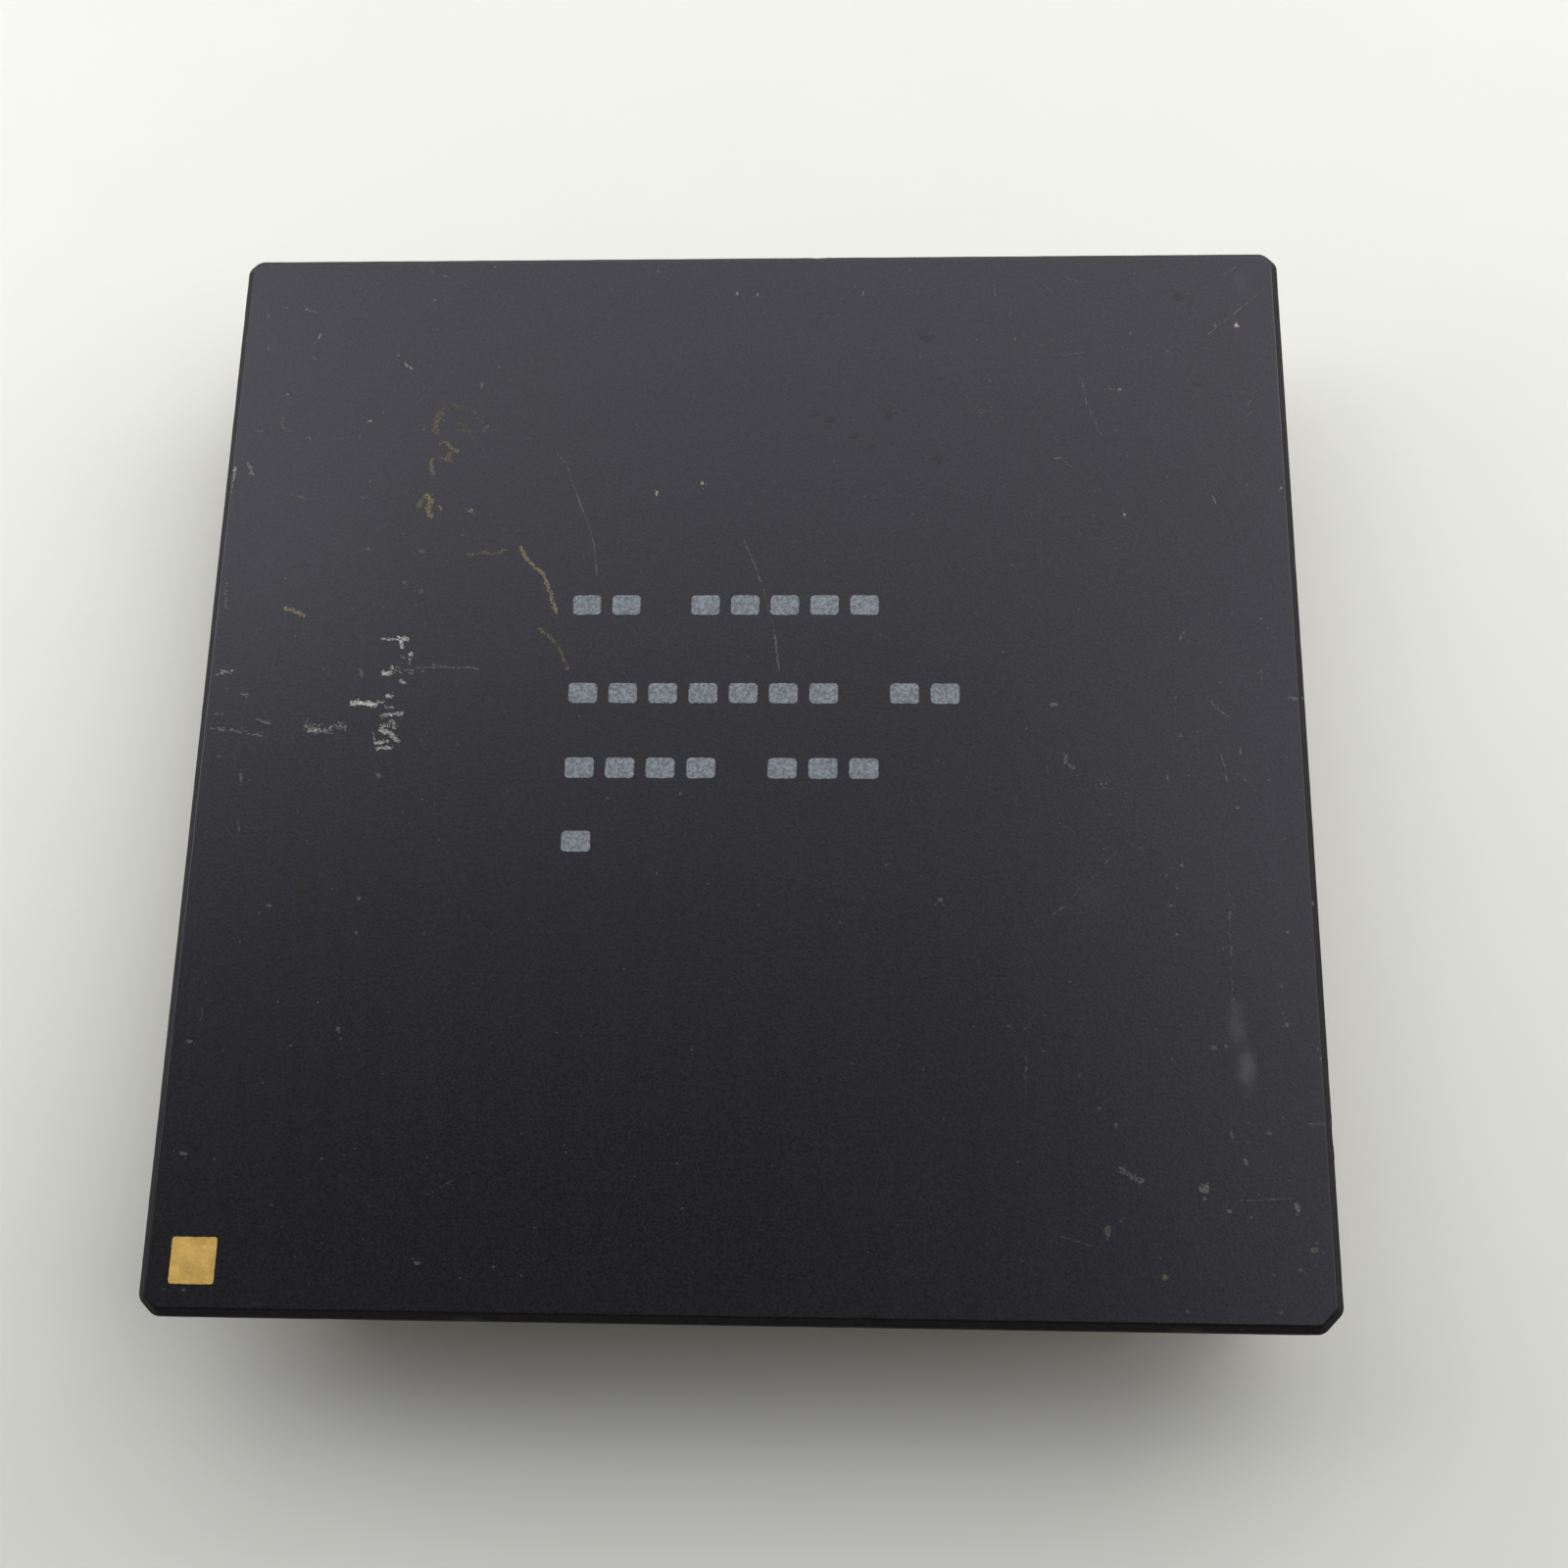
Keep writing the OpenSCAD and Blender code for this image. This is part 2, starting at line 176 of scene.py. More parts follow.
SCRATCHES = (
    (0.05, 0.5, 0.14, (-14.9, 22.0), (-13.5, 21.4), (-12.5, 20.9)),
    (0.05, 0.7, 0.11, (-8.55, 13.2), (-7.85, 12.4), (-7.45, 11.2)),
    (0.05, 0.8, 0.15, (-7.45, 11.2), (-6.8, 9.6)),
    (0.05, 0.7, 0.12, (-6.8, 9.6), (-6.5, 8.6), (-6.35, 7.2)),
    (0.06, 0.5, 0.12, (-6.95, 8.2), (-6.6, 8.4)),
    (0.06, 0.6, 0.14, (17.43, 4.5), (17.62, 4.95)),
    (0.06, 0.35, 0.1, (-14.15, 16.2), (-14.3, 15.3)),
    (0.05, 0.7, 0.22, (-0.3, 8.9), (0.0, 8.2), (0.5, 6.9)),
    (0.05, 0.4, 0.12, (0.5, 6.9), (1.05, 4.8)),
    (0.06, 0.9, 0.25, (1.05, 4.8), (1.15, 4.0), (1.25, 3.15)),
    (0.05, 0.6, 0.12, (13.1, 21.4), (13.5, 21.05), (14.15, 20.9)),
    (0.05, 0.5, 0.13, (12.45, 20.7), (12.7, 20.35)),
    (0.05, 0.3, 0.08, (10.2, 20.8), (10.25, 19.8)),
    (0.06, 0.8, 0.25, (19.22, 18.4), (19.4, 18.56)),
    (0.05, 0.6, 0.14, (19.4, 18.56), (20.65, 19.65), (21.7, 20.55)),
    (0.05, 0.5, 0.12, (20.06, 21.3), (20.62, 21.68)),
    (0.05, 0.5, 0.1, (20.7, 15.0), (21.0, 15.7)),
    (0.06, 0.5, 0.1, (20.5, 14.4), (20.9, 14.8)),
    (0.05, 0.3, 0.07, (12.9, 17.35), (15.3, 17.8)),
    (0.05, 0.3, 0.08, (8.7, 15.9), (9.1, 15.3)),
    (0.05, 0.7, 0.18, (13.8, 16.3), (14.0, 15.1)),
    (0.05, 0.4, 0.1, (14.0, 15.1), (14.35, 14.2), (14.6, 13.5)),
    (0.06, 0.7, 0.38, (19.0, 10.9), (19.2, 10.45)),
    (0.05, 0.35, 0.08, (14.2, -1.75), (15.1, -2.0)),
    (0.16, 0.1, 0.08, (12.1, -7.0), (13.8, -5.3), (14.75, -4.3)),
    (0.05, 0.3, 0.08, (20.1, -6.1), (20.7, -6.7)),
    (0.12, 0.12, 0.1, (18.85, -6.0), (18.8, -11.0)),
    (0.1, 0.12, 0.08, (10.9, -12.5), (10.9, -14.5)),
    (0.08, 0.2, 0.07, (12.1, -19.2), (13.7, -19.65)),
    (0.05, 0.4, 0.12, (-20.35, -3.3), (-20.25, -3.8)),
    (0.05, 0.3, 0.2, (-21.0, -11.0), (-21.0, -11.6)),
)

# A speck is its place, its two widths and how much paler than the ceramic it is
PALE_SPECKS = (
    (-15.4, 17.6, 0.2, 0.12, 0.23), (-0.85, 20.5, 0.1, 0.2, 0.5), (0.05, 20.45, 0.1, 0.2, 0.4),
    (-4.3, 21.6, 0.1, 0.1, 0.32), (6.6, 21.6, 0.1, 0.1, 0.17), (4.2, 20.8, 0.1, 0.08, 0.17),
    (4.58, 20.45, 0.1, 0.3, 0.23), (9.5, 20.9, 0.08, 0.1, 0.12), (10.9, 19.5, 0.08, 0.1, 0.1),
    (14.8, 19.6, 0.1, 0.1, 0.1), (7.0, 17.4, 0.08, 0.1, 0.1), (2.3, 15.1, 0.1, 0.08, 0.1),
    (4.2, 14.4, 0.08, 0.08, 0.1), (15.3, 12.8, 0.1, 0.1, 0.14), (15.6, 12.7, 0.08, 0.08, 0.12),
    (21.85, 11.2, 0.1, 0.2, 0.6), (11.9, 10.9, 0.08, 0.1, 0.12), (14.2, 11.1, 0.08, 0.1, 0.08),
    (13.4, 5.8, 0.1, 0.1, 0.1), (17.6, 4.8, 0.1, 0.1, 0.12), (12.3, 1.7, 0.28, 0.2, 0.22),
    (-14.35, 7.0, 0.18, 0.14, 0.17), (-16.45, 5.85, 0.12, 0.1, 0.1), (-13.8, 6.0, 0.1, 0.1, 0.1),
    (-12.82, 15.2, 0.1, 0.14, 0.1), (-12.1, 9.15, 0.16, 0.1, 0.13), (-15.2, -7.9, 0.14, 0.12, 0.2),
    (-21.4, -0.6, 0.16, 0.1, 0.14), (-21.35, -12.25, 0.26, 0.14, 0.2), (-21.15, -16.55, 0.36, 0.16, 0.15),
    (-11.9, -20.5, 0.22, 0.18, 0.15), (-9.0, -20.6, 0.1, 0.1, 0.1), (-20.6, -21.6, 0.2, 0.1, 0.12),
    (14.1, -1.65, 0.14, 0.14, 0.2), (16.72, -1.4, 0.12, 0.4, 0.13), (17.1, -4.95, 0.14, 0.14, 0.17),
    (16.8, -7.7, 0.14, 0.14, 0.14), (14.1, -4.3, 0.1, 0.1, 0.12), (3.8, -7.3, 0.1, 0.1, 0.1),
    (20.7, -9.7, 0.1, 0.14, 0.1), (20.8, -11.2, 0.16, 0.18, 0.25), (18.0, -12.1, 0.26, 0.16, 0.13),
    (21.9, -12.1, 0.1, 0.2, 0.2), (18.5, -15.3, 0.1, 0.1, 0.12), (19.9, -15.3, 0.16, 0.14, 0.22),
    (19.0, -16.4, 0.14, 0.3, 0.3), (17.4, -17.4, 0.46, 0.36, 0.28), (18.3, -18.2, 0.18, 0.18, 0.22),
    (19.1, -18.4, 0.1, 0.1, 0.14), (20.78, -17.98, 0.2, 0.42, 0.25), (14.3, -18.6, 0.1, 0.1, 0.08),
    (16.6, -21.8, 0.16, 0.1, 0.1), (20.0, -21.8, 0.16, 0.1, 0.1), (19.5, 18.8, 0.14, 0.14, 0.2),
    (17.45, 17.6, 0.16, 0.14, 0.14), (15.95, 18.45, 0.1, 0.14, 0.12), (-16.77, 13.7, 0.1, 0.1, 0.2),
    (-16.15, 11.64, 0.1, 0.16, 0.22), (-16.4, 10.87, 0.1, 0.1, 0.18), (-16.0, 8.53, 0.2, 0.2, 0.12),
    (-13.75, 8.4, 0.3, 0.2, 0.08), (-13.63, 6.63, 0.3, 0.2, 0.07), (21.86, 1.97, 0.3, 0.2, 0.2),
    (17.3, 0.38, 0.2, 0.14, 0.12), (16.88, -5.85, 0.12, 0.12, 0.1), (16.63, -6.56, 0.16, 0.14, 0.08),
    (21.04, -7.58, 0.2, 0.16, 0.14), (22.05, -6.44, 0.1, 0.2, 0.2), (21.14, -3.85, 0.12, 0.12, 0.12),
    (10.3, -11.34, 0.14, 0.12, 0.12), (22.0, -12.46, 0.1, 0.14, 0.2), (18.47, -12.05, 0.14, 0.14, 0.14),
    (14.23, -15.06, 0.16, 0.16, 0.16), (20.77, -20.27, 0.2, 0.16, 0.1), (18.52, -15.4, 0.12, 0.36, 0.14),
    (-21.25, 19.55, 0.1, 0.24, 0.22), (-18.9, 18.55, 0.1, 0.34, 0.4), (-19.05, 17.46, 0.12, 0.12, 0.3),
    (-21.1, 17.95, 0.1, 0.24, 0.2), (-14.0, 20.27, 0.12, 0.12, 0.3), (-11.47, 21.89, 0.1, 0.1, 0.3),
    (-10.99, 16.99, 0.1, 0.1, 0.3), (-20.06, 15.74, 0.12, 0.12, 0.28), (-19.6, 19.86, 0.12, 0.12, 0.45),
)

TAN_SPECKS = (
    (-11.67, 16.1, 0.13, 0.34, 0.2), (-16.4, 14.45, 0.2, 0.12, 0.6), (-14.05, 14.05, 0.16, 0.12, 0.18),
    (-11.8, 10.25, 0.26, 0.2, 0.3), (-4.0, 11.05, 0.12, 0.26, 0.8), (-2.1, 11.5, 0.12, 0.22, 0.75),
    (20.4, 18.78, 0.22, 0.24, 0.95), (9.95, 16.2, 0.1, 0.2, 0.08), (11.05, 18.2, 0.1, 0.22, 0.2),
    (15.4, 15.8, 0.16, 0.14, 0.42), (15.0, 15.8, 0.1, 0.1, 0.24), (12.75, 12.6, 0.3, 0.1, 0.26),
    (15.4, 10.03, 0.17, 0.15, 0.55), (15.0, 8.5, 0.1, 0.1, 0.12), (20.7, 5.4, 0.12, 0.12, 0.1),
    (-14.8, -1.4, 0.2, 0.2, 0.24), (-20.4, -1.5, 0.12, 0.5, 0.17), (-15.2, -6.5, 0.18, 0.16, 0.26),
    (-15.6, -11.7, 0.2, 0.2, 0.18), (-5.5, -2.3, 0.1, 0.12, 0.1), (-2.6, -2.1, 0.1, 0.1, 0.25),
    (19.0, -1.4, 0.1, 0.36, 0.18), (19.6, -0.3, 0.1, 0.2, 0.14), (19.38, -2.6, 0.14, 0.14, 0.17),
    (18.85, -6.95, 0.14, 0.5, 0.15), (5.6, -5.0, 0.12, 0.12, 0.1), (7.72, -6.4, 0.22, 0.22, 0.2),
    (13.8, -18.95, 0.26, 0.4, 0.12), (15.83, -20.6, 0.2, 0.24, 0.2), (21.3, -19.55, 0.4, 0.26, 0.17),
    (-15.85, 3.0, 0.18, 0.36, 0.18), (-18.75, -6.8, 0.2, 0.14, 0.13), (17.96, 0.55, 0.1, 0.1, 0.12),
    (19.62, -0.2, 0.1, 0.34, 0.18), (19.75, -1.44, 0.1, 0.14, 0.14), (20.67, -1.44, 0.1, 0.1, 0.14),
    (13.63, -14.44, 0.16, 0.14, 0.12), (-19.1, 10.92, 0.3, 0.1, 0.2), (-20.4, -1.48, 0.14, 0.3, 0.14),
)

STAINS = (
    (2.64, 14.72, 0.4, 0.3, 0), (3.22, 14.44, 0.6, 0.26, 0), (4.25, 13.66, 0.5, 0.2, 0),
    (4.96, 13.2, 0.3, 0.3, 0), (5.73, 14.6, 0.3, 0.5, 0), (7.7, 12.6, 0.6, 0.36, 0),
    (7.36, 18.23, 0.5, 0.4, 0), (18.6, 16.02, 0.36, 0.26, 0), (18.01, 20.18, 0.5, 0.5, 0),
    (-17.6, -6.1, 0.6, 0.4, 0),
)

# Pale, dull haze in the ceramic's own finish: place, two half widths and strength
HAZE_SPOTS = (
    (18.85, -11.1, 0.5, 1.5, 0.5), (19.15, -12.7, 0.5, 1.1, 0.95), (-19.0, 8.0, 6.0, 9.0, 0.1),
    (13.5, -6.0, 1.6, 1.6, 0.08), (20.6, 20.7, 0.5, 0.8, 0.2),
)


def linear(code):
    """Linear RGB of an sRGB hex code."""
    parts = [int(code[i:i + 2], 16) / 255 for i in (1, 3, 5)]
    return tuple(c / 12.92 if c <= 0.04045 else ((c + 0.055) / 1.055) ** 2.4 for c in parts)


def length_property(name, description, millimetres):
    """A length of the object, given in millimetres."""
    return bpy.props.FloatProperty(
        name=name, description=description, default=millimetres * MM, precision=5, unit="LENGTH"
    )


def colour_property(name, description, code):
    """A colour of the object, given as an sRGB hex code."""
    return bpy.props.FloatVectorProperty(
        name=name, description=description, default=linear(code), min=0, max=1, subtype="COLOR"
    )


class ProcessorSizes(bpy.types.PropertyGroup):
    """Sizes of the dressed pieces that their solids' boxes don't give."""

    corner_chamfer: length_property("Corner chamfer", "Chamfer of the body's corners, along the sides", 0.6)
    corner_round: length_property("Corner round", "Setback of the chamfers' rounded upright edges", 0.2)
    rim_bevel: length_property("Rim bevel", "Bevel round the rims of both faces", 0.3)
    edge_softness: length_property("Edge softness", "Setback of the rounding at the fired edges", 0.05)
    rim_nick: length_property("Rim nick", "Depth of the deepest nick in the rims", 0.035)
    cavity_side: length_property("Cavity", "Side of the cavity's mouth", 17.9)
    shelf_width: length_property("Shelf width", "Width of each bonding shelf", 1.1)
    mark_corner: length_property("Mark corner", "Rounding of the index mark's corners", 0.09)
    block_length: length_property("Ink block length", "Length of a block of ink along its row", 1.15)
    block_height: length_property("Ink block height", "Height of a block of ink", 0.85)
    block_pitch: length_property("Ink block pitch", "Distance from one block of ink to the next", 1.62)
    ink_film: length_property("Ink film", "Thickness of the cured ink", 0.012)
    wear_film: length_property("Wear film", "Thickness of the scuffs and specks", 0.01)
    pitch: length_property("Pin pitch", "Spacing of the pins", 2.54)
    tip_radius: length_property("Tip radius", "Rounding of the pin tips", 0.12)
    pin_diameter: length_property("Pin diameter", "Diameter of the pins", 0.46)
    collar_diameter: length_property("Collar diameter", "Diameter of the standoff collars", 1.27)
    collar_thickness: length_property("Collar thickness", "Thickness of the standoff collars", 0.3)
    collar_drop: length_property("Collar drop", "Drop from the body to the seating plane", 1.27)
    braze_fillet: length_property("Braze fillet", "Radius of the hollow braze fillets", 0.34)
    braze_lip: length_property("Braze lip", "Thin edge at the foot and the top of the fillets", 0.03)
    pad_diameter: length_property("Pad diameter", "Diameter of the pin pads", 1.6)
    lid_corner: length_property("Lid corner", "Corner radius of the lid", 0.6)
    lid_edge: length_property("Lid edge", "Rolled rounding of the lid's stamped edge", 0.08)


class ProcessorColours(bpy.types.PropertyGroup):
    """Colours of the finishes."""

    ceramic: colour_property("Ceramic", "Dark alumina", "#191919")
    ceramic_tint: colour_property("Ceramic tint", "Violet cast in the alumina", "#1a191e")
    ceramic_gloss: colour_property("Ceramic gloss", "Tint of the light that the alumina mirrors", "#f1eeff")
    worn_rim: colour_property("Worn rim", "Alumina where handling has rubbed it", "#464549")
    gold_mark: colour_property("Gold mark", "Matt gold of the index mark", "#e0c178")
    gold_film: colour_property("Gold film", "Plated gold on printed metal", "#dcb662")
    gold_bright: colour_property("Gold wire", "Plated gold on drawn wire and sheet", "#e4bf6c")
    braze: colour_property("Braze", "Gold-plated silver braze", "#dcc088")
    solder: colour_property("Solder", "Gold-tin solder", "#c2aa74")
    ink: colour_property("Ink", "Marking ink", "#858d95")
    chalk: colour_property("Chalk", "White scuffs", "#dcdcd6")
    rub: colour_property("Rub", "Brass rubbed off on the ceramic", "#c9b478")
    scratch: colour_property("Scratch", "Fine pale scratches", "#cfcccc")
    pale_speck: colour_property("Pale speck", "White specks", "#d0cfcc")
    tan_speck: colour_property("Tan speck", "Tan specks", "#d4c3ae")
    silicon: colour_property("Silicon", "Face of the die", "#5f6672")
    die_bond: colour_property("Die bond", "Gold-silicon bond under the die", "#8d8577")
    wire: colour_property("Bond wire", "Aluminium of the bond wires", "#c6c8cc")
    floor: colour_property("Floor", "Pale floor and backdrop", "#efefea")


# Materials

CERAMIC_IOR = 1.485
FIRED_IOR = 1.23
GREASE_IOR = 1.41

# How much darker the as-fired faces' colour is than the lapped one's, painted shade on the sides and rims,
# and how dull they are
FIRED_PAINTED_SHADE = 0.4
FIRED_ROUGHNESS = 0.45

# Thickness of a pressed layer of the ceramic, in millimetres
LAYER = 0.41

# Width of the noise that breaks up the edges of marks, in millimetres
RAGGED = 0.5

# Roughness of the lapped face between its wipe streaks and in them, and what haze adds to it
STREAK_ROUGHNESS = {"To Min": 0.315, "To Max": 0.335}
HAZE_ROUGHNESS = 0.25

# Where most of a noise's values lie
NOISE_RANGE = {"From Min": 0.3, "From Max": 0.7}

# Distances from the part over which the backdrop's glow takes over from the lit floor, and that glow's
# strength at the near and the far end of the backdrop, each with its place along y; weaker at the near end as
# painted shade
BACKDROP_REACH = {"From Min": 0.07, "From Max": 0.22}
BACKDROP_GLOW_WITH_PAINTED_SHADE = {"From Min": -0.5, "From Max": 0.1, "To Min": 0.6, "To Max": 0.85}

# Settings that several nodes share
COLOUR_MIX = {"data_type": "RGBA"}
SMOOTH = {"interpolation_type": "SMOOTHSTEP"}


def add_node(tree, kind, settings=None, inputs=None):
    """Adds a node with its settings, and fills its sockets with values or links."""
    node = tree.nodes.new(kind)
    for name, value in (settings or {}).items():
        setattr(node, name, value)
    for socket, value in (inputs or {}).items():
        if isinstance(value, bpy.types.NodeSocket):
            tree.links.new(value, node.inputs[socket])
        else:
            node.inputs[socket].default_value = value
    return node


def per_mm(size):
    """Texture scale on Object coordinates for features of that size in millimetres."""
    return 1 / (size * MM)


def opaque(colour, shade=1.0):
    """Colour for a node's socket, darkened or lightened by shade."""
    return (*(min(1.0, part * shade) for part in colour), 1.0)


def new_material(name):
    """An empty material, its node tree and its Object coordinates."""
    material = bpy.data.materials.new(name)
    material.use_nodes = True
    tree = material.node_tree
    tree.nodes.clear()
    return material, tree, add_node(tree, "ShaderNodeTexCoord").outputs["Object"]


def soft_spot(tree, coords, spot, ragged):
    """Mask of one soft round mark on the top face, broken up by a noise."""
    x, y, half_x, half_y, strength = spot
    inputs = {
        "Vector": coords,
        "Location": (x * MM, y * MM, TOP),
        "Scale": (half_x * MM, half_y * MM, half_y * MM),
    }
    place = add_node(tree, "ShaderNodeMapping", {"vector_type": "TEXTURE"}, inputs).outputs["Vector"]
    reach = add_node(tree, "ShaderNodeVectorMath", {"operation": "LENGTH"}, {0: place}).outputs["Value"]
    uneven = add_node(tree, "ShaderNodeMath", {"operation": "ADD"}, {0: reach, 1: ragged}).outputs["Value"]
    inputs = {"Value": uneven, "From Min": 1.5, "From Max": 0.4, "To Min": 0.0, "To Max": strength}
    return add_node(tree, "ShaderNodeMapRange", SMOOTH, inputs).outputs["Result"]


def spots(tree, coords, ragged, marks):
    """The strongest of several soft marks."""
    total = soft_spot(tree, coords, marks[0], ragged)
    for mark in marks[1:]:
        inputs = {0: total, 1: soft_spot(tree, coords, mark, ragged)}
        total = add_node(tree, "ShaderNodeMath", {"operation": "MAXIMUM"}, inputs).outputs["Value"]
    return total


def ceramic_base(name, colours, shade):
    """Dark alumina's colour and grain, the same on its lapped and its fired faces but for the shade, which
    darkens the fired faces' colour as painted shade.
    """
    material, tree, coords = new_material(name)

    # Clouds of violet 14 mm wide, as the firing leaves them
    inputs = {"Vector": coords, "Scale": per_mm(14), "Detail": 3.0}
    cloud = add_node(tree, "ShaderNodeTexNoise", inputs=inputs).outputs["Fac"]
    inputs = {0: cloud, 6: opaque(colours.ceramic, shade), 7: opaque(colours.ceramic_tint, shade)}
    body = add_node(tree, "ShaderNodeMix", COLOUR_MIX, inputs).outputs[2]

    # Grain of 0.02 mm, drawn at 0.1 mm so that it shows
    inputs = {"Vector": coords, "Scale": per_mm(0.1), "Detail": 2.0}
    grain = add_node(tree, "ShaderNodeTexNoise", inputs=inputs).outputs["Fac"]
    inputs = {"Value": grain, **NOISE_RANGE, "To Min": 0.45, "To Max": 1.55}
    tone = add_node(tree, "ShaderNodeMapRange", inputs=inputs).outputs["Result"]
    inputs = {0: body, "Scale": tone}
    grained = add_node(tree, "ShaderNodeVectorMath", {"operation": "SCALE"}, inputs).outputs["Vector"]
    inputs = {"Strength": 0.6, "Distance": 0.007 * MM, "Height": grain}
    bump = add_node(tree, "ShaderNodeBump", inputs=inputs).outputs["Normal"]
    return material, tree, coords, grained, bump


def lapped_ceramic(colours):
    """Dark alumina, fired and then lapped flat: satin, with sandy grain, faint wipe streaks and haze."""
    material, tree, coords, grained, bump = ceramic_base("dark_alumina_lapped", colours, 1.0)

    # Haze in soft patches, paler and duller than the rest
    inputs = {"Vector": coords, "Scale": per_mm(RAGGED), "Detail": 4.0}
    ragged = add_node(tree, "ShaderNodeTexNoise", inputs=inputs).outputs["Fac"]
    haze = spots(tree, coords, ragged, HAZE_SPOTS)
    inputs = {0: haze, 6: grained, 7: opaque(colours.worn_rim)}
    hazed = add_node(tree, "ShaderNodeMix", COLOUR_MIX, inputs).outputs[2]

    # Wipe streaks about 0.8 mm apart, running away from the index side, a little duller than the rest
    inputs = {"Vector": coords, "Rotation": (0, 0, math.radians(2)), "Scale": (1, 0.03, 1)}
    wiped = add_node(tree, "ShaderNodeMapping", inputs=inputs).outputs["Vector"]
    inputs = {"Vector": wiped, "Scale": per_mm(0.8), "Detail": 3.0}
    streaks = add_node(tree, "ShaderNodeTexNoise", inputs=inputs).outputs["Fac"]
    inputs = {"Value": streaks, **NOISE_RANGE, **STREAK_ROUGHNESS}
    dulled = add_node(tree, "ShaderNodeMapRange", inputs=inputs).outputs["Result"]
    inputs = {0: haze, 1: HAZE_ROUGHNESS, 2: dulled}
    roughness = add_node(tree, "ShaderNodeMath", {"operation": "MULTIPLY_ADD"}, inputs).outputs["Value"]
    sockets = {
        "Base Color": hazed,
        "Roughness": roughness,
        "IOR": CERAMIC_IOR,
        "Specular Tint": opaque(colours.ceramic_gloss),
        "Normal": bump,
    }
    shader = add_node(tree, "ShaderNodeBsdfPrincipled", inputs=sockets).outputs["BSDF"]
    add_node(tree, "ShaderNodeOutputMaterial", inputs={"Surface": shader})
    return material


def fired_ceramic(colours):
    """Dark alumina, pressed in layers and left as fired: dull, painted darker as shade, with seams round the
    sides and rubbed rims.
    """
    material, tree, coords, grained, bump = ceramic_base("dark_alumina_as_fired_painted_shade", colours, FIRED_PAINTED_SHADE)

    # Seams of the pressed layers, as faint dark lines
    parts = add_node(tree, "ShaderNodeSeparateXYZ", inputs={"Vector": coords}).outputs
    inputs = {0: parts["Z"], 1: per_mm(LAYER), 2: 0.5 - PIN_FACE * per_mm(LAYER)}
    layers = add_node(tree, "ShaderNodeMath", {"operation": "MULTIPLY_ADD"}, inputs).outputs["Value"]
    inputs = {0: layers, 1: 0.5}
    from_seam = add_node(tree, "ShaderNodeMath", {"operation": "PINGPONG"}, inputs).outputs["Value"]
    inputs = {"Value": from_seam, "From Min": 0.0, "From Max": 0.09, "To Min": 0.55, "To Max": 1.0}
    seam = add_node(tree, "ShaderNodeMapRange", inputs=inputs).outputs["Result"]
    inputs = {0: grained, "Scale": seam}
    seamed = add_node(tree, "ShaderNodeVectorMath", {"operation": "SCALE"}, inputs).outputs["Vector"]

    # Rims rubbed paler over the outer 0.3 mm of the sides
    across = add_node(tree, "ShaderNodeMath", {"operation": "ABSOLUTE"}, {0: parts["X"]}).outputs["Value"]
    along = add_node(tree, "ShaderNodeMath", {"operation": "ABSOLUTE"}, {0: parts["Y"]}).outputs["Value"]
    inputs = {0: across, 1: along}
    reach = add_node(tree, "ShaderNodeMath", {"operation": "MAXIMUM"}, inputs).outputs["Value"]
    inputs = {"Value": reach, "From Min": HALF_SIDE - 0.35 * MM, "From Max": HALF_SIDE - 0.15 * MM}
    rim = add_node(tree, "ShaderNodeMapRange", inputs=inputs).outputs["Result"]
    inputs = {"Vector": coords, "Scale": per_mm(RAGGED), "Detail": 4.0}
    ragged = add_node(tree, "ShaderNodeTexNoise", inputs=inputs).outputs["Fac"]
    inputs = {"Value": ragged, "From Min": 0.55, "From Max": 0.8, "To Min": 0.0, "To Max": 0.2}
    rubbed = add_node(tree, "ShaderNodeMapRange", inputs=inputs).outputs["Result"]
    inputs = {0: rim, 1: rubbed}
    rim_wear = add_node(tree, "ShaderNodeMath", {"operation": "MULTIPLY"}, inputs).outputs["Value"]
    inputs = {0: rim_wear, 6: seamed, 7: opaque(colours.worn_rim)}
    colour = add_node(tree, "ShaderNodeMix", COLOUR_MIX, inputs).outputs[2]
    sockets = {"Base Color": colour, "Roughness": FIRED_ROUGHNESS, "IOR": FIRED_IOR, "Normal": bump}
    shader = add_node(tree, "ShaderNodeBsdfPrincipled", inputs=sockets).outputs["BSDF"]
    add_node(tree, "ShaderNodeOutputMaterial", inputs={"Surface": shader})
    return material


